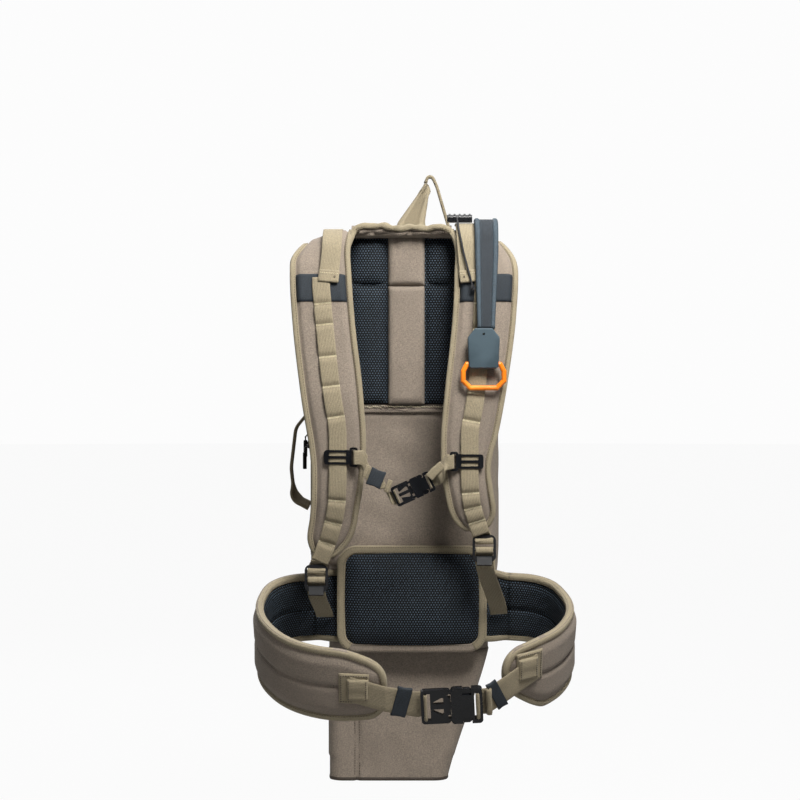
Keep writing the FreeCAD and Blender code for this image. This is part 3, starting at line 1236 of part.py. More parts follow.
NODES = {
    "main_bag": main_bag,
    "front_pocket": front_pocket,
    "rifle_sleeve": rifle_sleeve,
    "rifle_boot": rifle_boot,
    "back_panel": back_panel,
    "frame_sheet": frame_sheet,
    "frame_stays": frame_stays,
    "mesh_pads_upper": lambda: mesh_pads(PAD_SPLIT + SOFT_GAP, PAD_TOP),
    "mesh_pads_lower": lambda: mesh_pads(PAD_BOTTOM, PAD_SPLIT),
    "spine_strips": spine_strips,
    "panel_hem": panel_hem,
    "lumbar_pad": lumbar_pad,
    "lumbar_binding": lumbar_binding,
    "belt_core": belt_core,
    "yoke": yoke,
    "haul_loop": haul_loop,
    "shoulder_strap_left": lambda: shoulder_strap(LEFT_OUTER, LEFT_INNER),
    "shoulder_strap_right": lambda: shoulder_strap(RIGHT_INNER, RIGHT_OUTER),
    "shoulder_webbing_left": lambda: shoulder_webbing(SHOULDER_LEFT),
    "shoulder_webbing_right": lambda: shoulder_webbing(SHOULDER_RIGHT),
    "strap_band_left": lambda: strap_band(LEFT_OUTER, LEFT_INNER),
    "strap_band_right": lambda: strap_band(RIGHT_INNER, RIGHT_OUTER),
    "ladder_webbing_left": lambda: sewn_ladder(-1),
    "ladder_webbing_right": lambda: sewn_ladder(1),
    "adjuster_left": lambda: adjuster(ADJUSTER_LEFT),
    "adjuster_right": lambda: adjuster(ADJUSTER_RIGHT),
    "adjuster_webbing_left": lambda: adjuster_webbing(ADJUSTER_LEFT, ANCHOR_LEFT),
    "adjuster_webbing_right": lambda: adjuster_webbing(ADJUSTER_RIGHT, ANCHOR_RIGHT),
    "sternum_slider_left": lambda: sternum_slider(-1),
    "sternum_slider_right": lambda: sternum_slider(1),
    "sternum_webbing_left": lambda: sternum_webbing(-1),
    "sternum_webbing_right": lambda: sternum_webbing(1),
    "sternum_keeper": sternum_keeper,
    "sternum_buckle_male": lambda: chest_part(buckle_male(CHEST_BUCKLE)),
    "sternum_buckle_female": lambda: chest_part(buckle_female(CHEST_BUCKLE)),
    "sternum_buckle_arm_upper": lambda: chest_part(buckle_arm(CHEST_BUCKLE, 1)),
    "sternum_buckle_arm_lower": lambda: chest_part(buckle_arm(CHEST_BUCKLE, -1)),
    "hip_wing_left": lambda: belt_wing(-1),
    "hip_wing_right": lambda: belt_wing(1),
    "hip_patches": hip_patches,
    "hip_webbing_left": lambda: hip_webbing(-1),
    "hip_webbing_right": lambda: hip_webbing(1),
    "hip_keepers": hip_keepers,
    "hip_buckle_male": lambda: hip_part(buckle_male(HIP_BUCKLE)),
    "hip_buckle_female": lambda: hip_part(buckle_female(HIP_BUCKLE)),
    "hip_buckle_arm_upper": lambda: hip_part(buckle_arm(HIP_BUCKLE, 1)),
    "hip_buckle_arm_lower": lambda: hip_part(buckle_arm(HIP_BUCKLE, -1)),
    "cord_guide": cord_guide,
    "retention_cord": retention_cord,
    "hook_sleeve": hook_sleeve,
    "hook_housing": hook_housing,
    "hook_magnet": lambda: magnet_block(0.0),
    "pull_ring": pull_ring,
    "side_zips": side_zips,
    "zip_slider_front": lambda: zip_slider("front"),
    "zip_slider_rear": lambda: zip_slider("rear"),
    "zip_pull_front": lambda: zip_pull("front"),
    "zip_pull_rear": lambda: zip_pull("rear"),
    "side_handle": side_handle,
}

os.makedirs("parts", exist_ok=True)
for node, build in NODES.items():
    shape = build()
    shape.translate(-HOOK)
    shape.exportStep("parts/" + node + ".step")
    solids = shape.Solids
    print(node, len(solids), "solids", round(shape.Volume / 1000, 2), "cm3", "valid", shape.isValid())
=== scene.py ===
import bpy
import math
import numpy as np
from mathutils.bvhtree import BVHTree
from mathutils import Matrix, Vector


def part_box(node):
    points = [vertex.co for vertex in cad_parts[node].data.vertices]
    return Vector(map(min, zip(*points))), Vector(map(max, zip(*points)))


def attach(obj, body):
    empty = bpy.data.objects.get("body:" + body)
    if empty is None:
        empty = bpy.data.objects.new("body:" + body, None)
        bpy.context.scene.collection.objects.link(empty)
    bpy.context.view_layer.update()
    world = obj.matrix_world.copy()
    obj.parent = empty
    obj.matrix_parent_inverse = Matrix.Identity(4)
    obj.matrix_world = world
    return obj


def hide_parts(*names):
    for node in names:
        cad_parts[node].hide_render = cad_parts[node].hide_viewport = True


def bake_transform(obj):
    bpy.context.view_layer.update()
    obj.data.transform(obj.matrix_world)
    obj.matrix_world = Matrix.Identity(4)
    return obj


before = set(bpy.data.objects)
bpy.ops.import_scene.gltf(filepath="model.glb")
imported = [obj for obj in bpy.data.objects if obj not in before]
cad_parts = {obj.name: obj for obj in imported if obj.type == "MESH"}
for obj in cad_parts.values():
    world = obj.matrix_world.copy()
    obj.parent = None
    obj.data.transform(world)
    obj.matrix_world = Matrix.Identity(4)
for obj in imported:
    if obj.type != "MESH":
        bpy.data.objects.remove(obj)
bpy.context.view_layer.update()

bl_info = {
    "name": "Hunting backpack",
    "version": (1, 0, 0),
    "blender": (4, 5, 0),
    "location": "View3D > Sidebar > Backpack",
    "description": "Sewn, padded and moulded pieces of a hunting backpack around its packed frame",
    "category": "Add Mesh",
}

# Shapes are worked out in millimetres with z = 0 at the haul loop and y = 0 on the panel's face.
HOOK = np.array((34.0, 21.8, 0.0))
METRE = 1000.0
ACROSS, OUT, REARWARD = (1, 0, 0), (0, -1, 0), (0, 1, 0)


def row_frame(points):
    """Points in the frame's metres: the haul loop's place is taken away, then millimetres become metres."""
    return (np.asarray(points, float) - HOOK) / METRE


def node_box(*nodes):
    """Lowest and highest corner of some nodes together, in the millimetres that shapes are worked out in."""
    boxes = np.array([[list(corner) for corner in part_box(node)] for node in nodes])
    return boxes[:, 0].min(0) * METRE + HOOK, boxes[:, 1].max(0) * METRE + HOOK


# ---- lines ----
def unit(vectors):
    """Each vector divided by its length."""
    vectors = np.asarray(vectors, float)
    return vectors / np.maximum(np.linalg.norm(vectors, axis=-1, keepdims=True), 1e-9)


def run_of(line):
    """Distance along a line at each of its points: the sum of the steps before it."""
    return np.append(0, np.cumsum(np.linalg.norm(np.diff(line, axis=0), axis=1)))


def ease(value, low, high):
    """0 below low, 1 above high, and 3t^2 - 2t^3 of the share t between them."""
    t = np.clip((np.asarray(value, float) - low) / (high - low), 0, 1)
    return t * t * (3 - 2 * t)


def smooth(points, at):
    """A curve read at levels: cubic Hermite through (value, level) points, slopes from their neighbours."""
    value, level = np.array(sorted(points, key=lambda p: p[1])).T
    slope = np.gradient(value, level)
    at = np.clip(at, level[0], level[-1])
    i = np.clip(np.searchsorted(level, at) - 1, 0, len(level) - 2)
    step = level[i + 1] - level[i]
    t = (at - level[i]) / step
    stay, go = (1 + 2 * t) * (1 - t) ** 2, t * t * (3 - 2 * t)
    lean = step * (slope[i] * t * (1 - t) ** 2 - slope[i + 1] * t * t * (1 - t))
    return value[i] * stay + value[i + 1] * go + lean


def even(line, step, closed=False):
    """The same line with its points at even distances along it."""
    line = np.asarray(line, float)
    if closed:
        line = np.vstack([line, line[:1]])
    run = run_of(line)
    count = max(3, int(round(run[-1] / step)) + 1)
    at = np.linspace(0, run[-1], count)[:count - 1 if closed else count]
    return np.stack([np.interp(at, run, column) for column in line.T], 1)


def bent(points, radii, step, closed=False):
    """Straight runs joined by tangent arcs: each corner's arc turns from one run's direction to the next."""
    p = np.array(points, float)
    if closed:
        p = np.vstack([(p[0] + p[-1]) / 2, p, (p[0] + p[-1]) / 2])
    parts = [p[:1]]
    for before, corner, after, radius in zip(p, p[1:], p[2:], radii):
        come, leave = unit(before - corner), unit(after - corner)
        half = math.acos(np.clip(come @ leave, -1, 1)) / 2
        middle = corner + unit(come + leave) * radius / math.sin(half)
        start = corner + come * radius / math.tan(half) - middle
        end = corner + leave * radius / math.tan(half) - middle
        turn = math.pi - 2 * half
        t = np.linspace(0, 1, 13)[:, None]
        parts.append(middle + (np.sin((1 - t) * turn) * start + np.sin(t * turn) * end) / math.sin(turn))
    parts.append(p[-1:])
    line = np.vstack(parts)
    return even(line[:-1] if closed else line, step, closed)


def relax(line, times, closed=False):
    """Each point becomes a quarter, half, quarter mean with its neighbours, many times; open ends stay."""
    for _ in range(times):
        near = (np.roll(line, 1, 0) + np.roll(line, -1, 0)) / 2
        moved = (line + near) / 2
        if not closed:
            moved[0], moved[-1] = line[0], line[-1]
        line = moved
    return line


def slopes(line, closed=False):
    """Direction of a line at each of its points."""
    if closed:
        return unit(np.roll(line, -1, 0) - np.roll(line, 1, 0))
    return unit(np.gradient(line, axis=0))


def lift_plane(pairs, order, fixed=0.0):
    """Pairs of coordinates put on two of the three axes; the third keeps one value."""
    pairs = np.asarray(pairs, float)
    points = np.full((len(pairs), 3), float(fixed))
    points[:, order[0]], points[:, order[1]] = pairs[:, 0], pairs[:, 1]
    return points


def carried(line, up, profile, closed=False):
    """A profile carried along a line: (a, b) lies a to the side and b along up, kept square to the line."""
    tangent = slopes(line, closed)
    up = np.broadcast_to(np.asarray(up, float), line.shape)
    side = unit(np.cross(tangent, up))
    up = unit(np.cross(side, tangent))
    return line[:, None] + side[:, None] * profile[..., 0:1] + up[:, None] * profile[..., 1:2]


def tape(width, thickness, columns=7):
    """Flat tape's cross-section: across in front, then back behind, with its two selvedges thinner."""
    across = np.linspace(-0.5, 0.5, columns) * width
    across[1] = -width / 2 + min(1.2, width / 6)
    across[-2] = -across[1]
    half = np.full(columns, thickness / 2)
    half[0] = half[-1] = thickness / 5
    return np.vstack([np.stack([across, -half], 1), np.stack([across[::-1], half], 1)])


def oval(width, height, columns=14, square=2.6):
    """Superellipse cross-section: |a / half width|^n + |b / half height|^n = 1."""
    turn = (np.arange(columns) + 0.5) / columns * 2 * math.pi + math.pi
    c, s = np.cos(turn), np.sin(turn)
    power = 2 / square
    return np.stack([np.sign(c) * abs(c) ** power * width / 2, np.sign(s) * abs(s) ** power * height / 2], 1)


def ring(x0, x1, y0, y1, radius, count):
    """Rounded rectangle as an even number of points, starting and ending at the middle of its left side."""
    corners = [(x0, y0), (x1, y0), (x1, y1), (x0, y1)]
    line = bent(corners, [radius] * 4, 1.0, closed=True)
    fine = np.vstack([line, line[:1]])
    run = run_of(fine)
    at = (np.arange(count) + 0.5) / count * run[-1]
    return np.stack([np.interp(at, run, column) for column in fine.T], 1)


def ripple(a, b, size, length, seed):
    """Soft unevenness of cloth: a sum of five sine waves in fixed, seeded directions and lengths."""
    rng = np.random.default_rng(seed)
    total = 0.0
    for _ in range(5):
        turn, stretch, phase = rng.uniform(0, math.pi), rng.uniform(0.6, 1.7), rng.uniform(0, 2 * math.pi)
        along = (a * math.cos(turn) + b * math.sin(turn)) * 2 * math.pi / (length * stretch)
        total = total + np.sin(along + phase)
    return total * size / 3


def shown(name, data):
    """A new object with its data in the scene."""
    made = bpy.data.objects.new(name, data)
    bpy.context.scene.collection.objects.link(made)
    return made


# ---- sewn pieces ----
class Cut:
    """The parts of one piece: grids of points, their faces, their place in the cloth and their finish."""

    def __init__(self):
        self.points, self.quads, self.maps, self.finishes, self.count = [], [], [], [], 0

    def add(self, points, quads, corners, finish):
        """Takes in points and their faces, with the faces' places in the cloth and their finish's number."""
        self.points.append(points.reshape(-1, 3))
        self.quads.append(quads + self.count)
        self.maps.append(corners)
        self.finishes.append(np.broadcast_to(finish, len(quads)))
        self.count += self.points[-1].shape[0]

    def tube(self, points, finish=0, across=None, closed=False):
        """Closed form of rings points[i, j]: ring i is joined to ring i + 1, its end to its start, and each
        end is closed by faces between opposite points. finish is one number, or one for each column."""
        n, m = points.shape[:2]
        i, j = np.meshgrid(np.arange(n if closed else n - 1), np.arange(m), indexing="ij")
        i, j = i.ravel(), j.ravel()
        i2, j2 = (i + 1) % n, (j + 1) % m
        quads = np.stack([i * m + j, i2 * m + j, i2 * m + j2, i * m + j2], 1)
        centre, widest = points.mean(1), points[n // 2]
        along = run_of(np.vstack([centre, centre[:1]]))
        across = run_of(np.vstack([widest, widest[:1]])) if across is None else np.append(across, across[0])
        a, b = along / METRE, across / METRE
        corners = np.stack([np.stack([a[i], b[j]], 1), np.stack([a[i + 1], b[j]], 1),
                            np.stack([a[i + 1], b[j + 1]], 1), np.stack([a[i], b[j + 1]], 1)], 1)
        columns = np.broadcast_to(finish, m)[j]
        if not closed:
            k = np.arange(m // 2 - 1)
            for row, flip in ((0, False), (n - 1, True)):
                cap = np.stack([k, k + 1, m - 2 - k, m - 1 - k], 1) + row * m
                cap = cap[:, ::-1] if flip else cap
                quads = np.vstack([quads, cap])
                place = np.stack([b[k], b[k + 1], b[k + 1], b[k]], 1)
                corners = np.vstack([corners, np.stack([place * 0 + a[row], place], 2)])
                columns = np.append(columns, columns[k])
        flat = points.reshape(-1, 3)
        p = flat[quads]
        volume = (np.einsum("ij,ij->i", p[:, 0], np.cross(p[:, 1], p[:, 2]))
                  + np.einsum("ij,ij->i", p[:, 0], np.cross(p[:, 2], p[:, 3]))).sum()
        if volume < 0:
            quads, corners = quads[:, ::-1], corners[:, ::-1]
        self.add(points, quads, corners, columns)

    def sheet(self, front, rear, back_finish=0, across=None):
        """Closed form between a front and a rear grid of the same size, joined round their border."""
        points = np.concatenate([front, rear[:, ::-1]], 1)
        across = run_of(front[front.shape[0] // 2]) if across is None else across
        columns = np.repeat([0, back_finish], front.shape[1])
        self.tube(points, columns, np.append(across, across[::-1]))

    def hoop(self, line, up, profile, finish=0):
        """A profile carried round a closed line."""
        self.tube(carried(line, up, profile, True), finish, closed=True)

    def lying(self, line, up, flat, finish=0):
        """Tape carried along a line, its width square to up."""
        self.tube(carried(line, up, flat), finish, flat[:, 0])

    def standing(self, line, up, flat, place=np.asarray):
        """Tape carried along a line, its width along up, and put in its place by a function of its points."""
        self.tube(place(carried(line, up, flat[:, ::-1])), 0, flat[:, 0])

    def stitches(self, line, up, pitch=4.0, length=2.7, thick=0.7, finish=1, closed=False, lean=0.0):
        """A row of thread: each stitch is a four-sided grain, thicker in its middle, half sunk in cloth."""
        line = np.asarray(line, float)
        up = np.broadcast_to(np.asarray(up, float), line.shape)
        fine = even(np.hstack([line, up * 1e-6]), pitch, closed)
        at, up = fine[:, :3], unit(fine[:, 3:])
        along = slopes(at, closed)
        side = unit(np.cross(along, up))
        along = unit(along + side * lean)
        side = unit(np.cross(along, up))
        grain = np.array([(a * length / 2, c * s * thick / 2, u * s * thick / 2)
                          for a, s in ((-1, 0.45), (0, 1.0), (1, 0.45))
                          for c, u in ((-1, 0), (0, -0.6), (1, 0), (0, 1))])
        points = (at[:, None] + along[:, None] * grain[None, :, 0:1] + side[:, None] * grain[None, :, 1:2]
                  + up[:, None] * grain[None, :, 2:3])
        quads = [(r * 4 + k, r * 4 + (k + 1) % 4, r * 4 + 4 + (k + 1) % 4, r * 4 + 4 + k)
                 for r in range(2) for k in range(4)] + [(3, 2, 1, 0), (8, 9, 10, 11)]
        quads = np.array(quads)[:, ::-1]
        base = np.arange(len(at))[:, None, None] * 12
        corners = np.zeros((len(at) * len(quads), 4, 2))
        self.add(points, (quads[None] + base).reshape(-1, 4), corners, finish)

    def piece(self, name, finishes, body, *nodes):
        """The parts as one named piece that rides on a body and stands for some of the frame's nodes. A piece
        that bends between two bodies is given no body here."""
        mesh = bpy.data.meshes.new(name)
        quads, corners = np.vstack(self.quads), np.vstack(self.maps)
        mesh.from_pydata(row_frame(np.vstack(self.points)).tolist(), [], quads.tolist())
        for key in finishes:
            mesh.materials.append(material_of(key))
        mesh.polygons.foreach_set("material_index", np.concatenate(self.finishes).astype(np.int32))
        mesh.polygons.foreach_set("use_smooth", np.ones(len(quads), bool))
        layer = mesh.uv_layers.new(name="cloth")
        layer.data.foreach_set("uv", corners.astype(np.float32).ravel())
        mesh.update()
        made = shown(name, mesh)
        if body:
            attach(made, body)
        if nodes:
            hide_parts(*nodes)
        return made


def crown(distance, rounding):
    """Quarter-circle rise from a seam: 0 at the seam, 1 at the rounding's distance from it and beyond."""
    t = np.clip(distance / rounding, 0, 1)
    return np.sqrt(np.clip(1 - (1 - t) ** 2, 0, 1))


def rounded_grid(x0, x1, z0, z1, corner, step):
    """Even grid over a rectangle whose corner squares are drawn in to quarter discs. Returns x, z and each
    point's distance to the border."""
    nx, nz = max(5, int((x1 - x0) / step) + 1), max(5, int((z1 - z0) / step) + 1)
    hx, hz = (x1 - x0) / 2, (z1 - z0) / 2
    spread = lambda n: np.sin(np.linspace(-1, 1, n) * math.pi / 2) * 0.35 + np.linspace(-1, 1, n) * 0.65
    dx, dz = np.meshgrid(spread(nx) * hx, spread(nz) * hz, indexing="xy")
    border = np.minimum(hx - abs(dx), hz - abs(dz))
    qx, qz = np.maximum(abs(dx) - (hx - corner), 0), np.maximum(abs(dz) - (hz - corner), 0)
    reach = np.maximum(np.hypot(qx, qz), 1e-9)
    pull = np.where((qx > 0) & (qz > 0), np.maximum(qx, qz) / reach, 1.0)
    dx = np.where(pull < 1, np.sign(dx) * (abs(dx) - qx + qx * pull), dx)
    dz = np.where(pull < 1, np.sign(dz) * (abs(dz) - qz + qz * pull), dz)
    return dx + (x0 + x1) / 2, dz + (z0 + z1) / 2, border


def pad(cut, box, corner, rounding, step, edge, wave, seed, shape=None):
    """Pad on the panel's side: its front is y_rear - thickness * (edge share + crown of the distance to its
    border), plus a ripple; its rear is flat."""
    (x0, y0, z0), (x1, y1, z1) = box
    x, z, border = rounded_grid(x0, x1, z0, z1, corner, step)
    rise = edge + (1 - edge) * crown(border, rounding)
    front = y1 - (y1 - y0) * rise + ripple(x, z, wave, 70.0, seed) * ease(border, 0, rounding)
    if shape is not None:
        front = front + shape(x, z, border)
    cut.sheet(np.stack([x, front, z], 2), np.stack([x, np.full_like(x, y1), z], 2))


def places(mesh):
    """The points of a mesh in the frame's metres, one row for each."""
    points = np.zeros(len(mesh.vertices) * 3, np.float32)
    mesh.vertices.foreach_get("co", points)
    return points.reshape(-1, 3).astype(float)


def put(mesh, points):
    """Moves the points of a mesh to places worked out in millimetres."""
    mesh.vertices.foreach_set("co", row_frame(points).astype(np.float32).ravel())
    mesh.update()


# frames and pressure of the cloth's swelling, and how far it stays inside its box
SWELL_STEPS, SWELL_PRESSURE, BOX_GAP = 20, 4.0, 0.1


def puffed(piece, voxel, cap, held, box):
    """Cloth under inner pressure: the closed form is remeshed and swells for some steps with its held points
    pinned, no point moves further than the cap or out of the box, and the result is written into the mesh."""
    scene = bpy.context.scene
    bpy.context.view_layer.objects.active = piece
    grid = piece.modifiers.new("voxels", "REMESH")
    grid.mode, grid.voxel_size, grid.use_smooth_shade = "VOXEL", voxel / METRE, True
    bpy.ops.object.modifier_apply(modifier=grid.name)
    mesh = piece.data
    start = places(mesh)
    moved = start
    cloth = piece.modifiers.new("swell", "CLOTH")
    settings = cloth.settings
    settings.quality = 5
    settings.use_pressure, settings.uniform_pressure_force = True, SWELL_PRESSURE
    settings.effector_weights.gravity = 0
    group = piece.vertex_groups.new(name="held")
    group.add(np.flatnonzero(held(start * METRE + HOOK)).tolist(), 1.0, "REPLACE")
    settings.vertex_group_mass = group.name
    for step in range(1, SWELL_STEPS + 1):
        scene.frame_set(step)
    ready = piece.evaluated_get(bpy.context.evaluated_depsgraph_get()).data
    move = places(ready) - start
    far = np.linalg.norm(move, axis=1, keepdims=True)
    moved = start + move * np.minimum(1, cap / METRE / np.maximum(far, 1e-9))
    piece.modifiers.remove(cloth)
    piece.vertex_groups.clear()
    scene.frame_set(1)
    mesh.polygons.foreach_set("use_smooth", np.ones(len(mesh.polygons), bool))
    put(mesh, np.clip(moved * METRE + HOOK, np.array(box[0]) + BOX_GAP, np.array(box[1]) - BOX_GAP))


def pressed(piece, shape):
    """The finished mesh moved by a function of its points, for seams and sewn channels."""
    put(piece.data, shape(places(piece.data) * METRE + HOOK))


def subdivided(piece):
    """The piece with one level of smooth subdivision."""
    layer = piece.modifiers.new("finer", "SUBSURF")
    layer.levels = layer.render_levels = 1
    return piece


# ---- finishes ----
class Wire:
    """A socket that carries a number or a colour; arithmetic on it adds Math nodes."""

    def __init__(self, maker, socket):
        self.maker, self.socket = maker, socket

    def math(self, operation, *values, clamp=False):
        """A Math node on some values."""
        inputs = dict(enumerate(values))
        return self.maker.node("ShaderNodeMath", {"operation": operation, "use_clamp": clamp}, inputs)

    def __add__(self, other):
        return self.math("ADD", self, other)

    def __sub__(self, other):
        return self.math("SUBTRACT", self, other)

    def __rsub__(self, other):
        return self.math("SUBTRACT", other, self)

    def __mul__(self, other):
        return self.math("MULTIPLY", self, other)

    def __truediv__(self, other):
        return self.math("DIVIDE", self, other)

    __radd__, __rmul__ = __add__, __mul__

    def wave(self, pitch):
        """Cosine with one crest every pitch."""
        return self.math("COSINE", self * (2 * math.pi / pitch))

    def between(self, low, high):
        """0 below low, 1 above high, smooth between them."""
        return self.maker.node("ShaderNodeMapRange", {"interpolation_type": "SMOOTHSTEP"},
                               {0: self, 1: low, 2: high})


class Finish:
    """One procedural material, or the sky, built node by node."""

    def __init__(self, name, kind="materials"):
        self.material = getattr(bpy.data, kind).new(name)
        self.material.use_nodes = True
        self.tree = self.material.node_tree
        self.tree.nodes.clear()

    def node(self, kind, settings=None, inputs=None, output=0):
        """Adds a node: its settings first, then the values or links of its sockets."""
        made = self.tree.nodes.new(kind)
        for key, value in (settings or {}).items():
            setattr(made, key, value)
        for key, value in (inputs or {}).items():
            if isinstance(value, Wire):
                self.tree.links.new(value.socket, made.inputs[key])
            else:
                made.inputs[key].default_value = value
        return Wire(self, made.outputs[output]) if made.outputs else made

    def place(self):
        """Object coordinates in metres."""
        return self.node("ShaderNodeTexCoord", output=3)

    def cloth_map(self):
        """The piece's own map: metres along it and across it."""
        return self.node("ShaderNodeUVMap", {"uv_map": "cloth"})

    def axes(self, vector):
        """The three parts of a vector."""
        made = self.node("ShaderNodeSeparateXYZ", {}, {0: vector})
        return [Wire(self, part) for part in made.socket.node.outputs]

    def stretched(self, vector, scale):
        """A vector with each part times its own scale."""
        return self.node("ShaderNodeVectorMath", {"operation": "MULTIPLY"}, {0: vector, 1: scale})

    def noise(self, vector, scale, detail):
        """Noise from 0 to 1 with a scale in cells to the metre."""
        return self.node("ShaderNodeTexNoise", {}, {"Vector": vector, "Scale": scale, "Detail": detail})

    def mix(self, share, first, second):
        """The first colour where the share is 0, the second where it is 1."""
        settings = {"data_type": "RGBA"}
        return self.node("ShaderNodeMix", settings, {0: share, 6: first, 7: second}, 2)

    def bump(self, height, depth, strength=1.0):
        """Depth is the height's real size in metres."""
        return self.node("ShaderNodeBump", {}, {"Strength": strength, "Distance": depth, "Height": height})

    def surface(self, colour, rough, normal=None, **fixed):
        """Joins colour, roughness and normal to the shader; what is the same all over is a plain value."""
        inputs = {"Base Color": colour, "Roughness": rough}
        if normal is not None:
            inputs["Normal"] = normal
        inputs.update({key.replace("_", " "): value for key, value in fixed.items()})
        shader = self.node("ShaderNodeBsdfPrincipled", {}, inputs)
        self.node("ShaderNodeOutputMaterial", {}, {"Surface": shader})
        return self.material


def shade(colour, share):
    """A colour made lighter or darker."""
    return tuple(min(1.0, c * share) for c in colour[:3]) + (1.0,)


def heather_cloth(name, colour):
    """Plain-woven heather: light and dark yarns both ways, a soft wider tone, and the weave's relief."""
    f = Finish(name)
    place = f.place()
    weft = f.noise(f.stretched(place, (1, 1, 4.5)), 300, 2)
    warp = f.noise(f.stretched(place, (4.5, 4.5, 1)), 300, 2)
    speck = f.noise(place, 850, 1)
    wide = f.noise(place, 9, 3)
    tone = ((weft + warp + speck * 0.8 - 1.4) * 1.5 + 0.5).between(0.0, 1.0)
    base = f.mix(tone, shade(colour, 0.74), shade(colour, 1.26))
    base = f.mix(wide.between(0.35, 0.7) * 0.35, base, shade(colour, 0.78))
    x, y, z = f.axes(place)
    weave = (x + y).wave(0.0011) * z.wave(0.0011)
    relief = weave * 0.35 + weft * 0.9 + warp * 0.9
    rough = 0.82 + tone * 0.1
    return f.surface(base, rough, f.bump(relief, 0.0005, 0.7), Sheen_Weight=0.06, Sheen_Roughness=0.5)


def woven_tape(name, colour, rib, row, contrast=1.0):
    """Woven tape: ribs across it, rows along it, a tone that changes by yarn, and darker patches of wear."""
    f = Finish(name)
    along, across, _ = f.axes(f.cloth_map())
    yarn = f.noise(f.stretched(f.cloth_map(), (1, 7, 1)), 230, 2)
    speck = f.noise(f.place(), 900, 1)
    wide = f.noise(f.place(), 22, 3)
    ribs = along.wave(rib)
    rows = across.wave(row)
    tone = ((yarn + speck - 1.0) * (1.2 * contrast) + ribs * 0.14 + rows * 0.16 + 0.5).between(0.0, 1.0)
    base = f.mix(tone, shade(colour, 0.72), shade(colour, 1.24))
    base = f.mix(wide.between(0.4, 0.75) * 0.4, base, shade(colour, 0.72))
    relief = ribs * rows * 0.5 + rows * 0.4 + yarn
    rough = 0.74 + tone * 0.12
    return f.surface(base, rough, f.bump(relief, 0.0004, 0.8), Sheen_Weight=0.08, Sheen_Roughness=0.5)


def spacer_mesh(name, colour, own_map, pitch=0.0040):
    """Knitted spacer mesh: threads round staggered cells, from three cosines 60 degrees apart added up; the
    cells between the threads carry painted shade.
    """
    f = Finish(name)
    if own_map:
        u, v, _ = f.axes(f.cloth_map())
    else:
        u, _, v = f.axes(f.place())
    k = pitch * 0.866
    cells = v.wave(k) + (u * 0.866 - v * 0.5).wave(k) + (u * 0.866 + v * 0.5).wave(k)
    thread = (cells / 3).between(-0.12, 0.62)
    place = f.place()
    fine = f.noise(place, 900, 2)
    wide = f.noise(place, 14, 3)
    light = f.mix(fine, shade(colour, 3.4), shade(colour, 8.2))
    # painted shade: the cells between the threads are drawn near black, as the mesh's holes look in shade
    base = f.mix(thread, shade(colour, 0.12), light)
    base = f.mix(wide.between(0.35, 0.75) * 0.3, base, shade(colour, 0.5))
    relief = thread + fine * 0.35
    rough = 0.6 + fine * 0.25
    return f.surface(base, rough, f.bump(relief, 0.0014, 1.0), Specular_IOR_Level=0.25)


def knitted_band(name, colour, rib=0.0016):
    """Close knitted elastic: fine ribs along it, with a dull speckle."""
    f = Finish(name)
    across = f.axes(f.cloth_map())[1]
    speck = f.noise(f.place(), 700, 2)
    wide = f.noise(f.place(), 30, 2)
    ribs = across.wave(rib)
    tone = (speck - 0.5) * 1.6 + ribs * 0.14 + 0.5
    base = f.mix(tone.between(0, 1), shade(colour, 0.5), shade(colour, 1.7))
    base = f.mix(wide.between(0.4, 0.7) * 0.3, base, shade(colour, 1.3))
    relief = f.bump(ribs * 0.6 + speck, 0.0003, 0.7)
    return f.surface(base, 0.62 + speck * 0.2, relief, Specular_IOR_Level=0.4)


def moulding(name, colour, low, high, grain, depth, coat=0.0):
    """Moulded plastic: even colour with faint flow marks, a fine skin and handling gloss in patches."""
    f = Finish(name)
    place = f.place()
    skin = f.noise(place, grain, 3)
    flow = f.noise(f.stretched(place, (1, 3, 1)), 24, 3)
    base = f.mix(flow.between(0.35, 0.7), shade(colour, 0.85), shade(colour, 1.25))
    rough = low + (high - low) * flow.between(0.3, 0.7) + skin * 0.06
    return f.surface(base, rough, f.bump(skin, depth, 0.5), Coat_Weight=coat, Coat_Roughness=0.12,
                     Specular_IOR_Level=0.3)


def braided_cord(name, colour):
    """Braided cord: two spirals of strands crossing each other in the piece's own place."""
    f = Finish(name)
    x, y, z = f.axes(f.place())
    braid = (z + x).wave(0.0018) * (z - x + y).wave(0.0018)
    speck = f.noise(f.place(), 900, 2)
    base = f.mix(braid.between(-0.4, 0.6), shade(colour, 0.5), shade(colour, 2.2))
    return f.surface(base, 0.55 + speck * 0.2, f.bump(braid + speck, 0.0003, 0.8))


def coil_zip(name, colour):
    """Zip coil and tape: teeth across the middle third of the map, woven tape beside them."""
    f = Finish(name)
    along = f.axes(f.cloth_map())[0]
    teeth = along.wave(0.0022).between(-0.3, 0.3)
    speck = f.noise(f.place(), 800, 2)
    base = f.mix(teeth, shade(colour, 0.5), shade(colour, 2.0))
    return f.surface(base, 0.45 + speck * 0.3, f.bump(teeth + speck * 0.4, 0.0005, 0.9))


def metal(name, colour, rough, streak):
    """Rolled or die-cast metal: streaks along one way, brighter where handled."""
    f = Finish(name)
    place = f.place()
    lines = f.noise(f.stretched(place, streak), 60, 3)
    wear = f.noise(place, 45, 3).between(0.5, 0.75)
    base = f.mix(lines, shade(colour, 0.8), shade(colour, 1.15))
    base = f.mix(wear * 0.3, base, shade(colour, 1.4))
    return f.surface(base, rough + lines * 0.15, f.bump(lines, 0.00008, 0.4), Metallic=1.0)


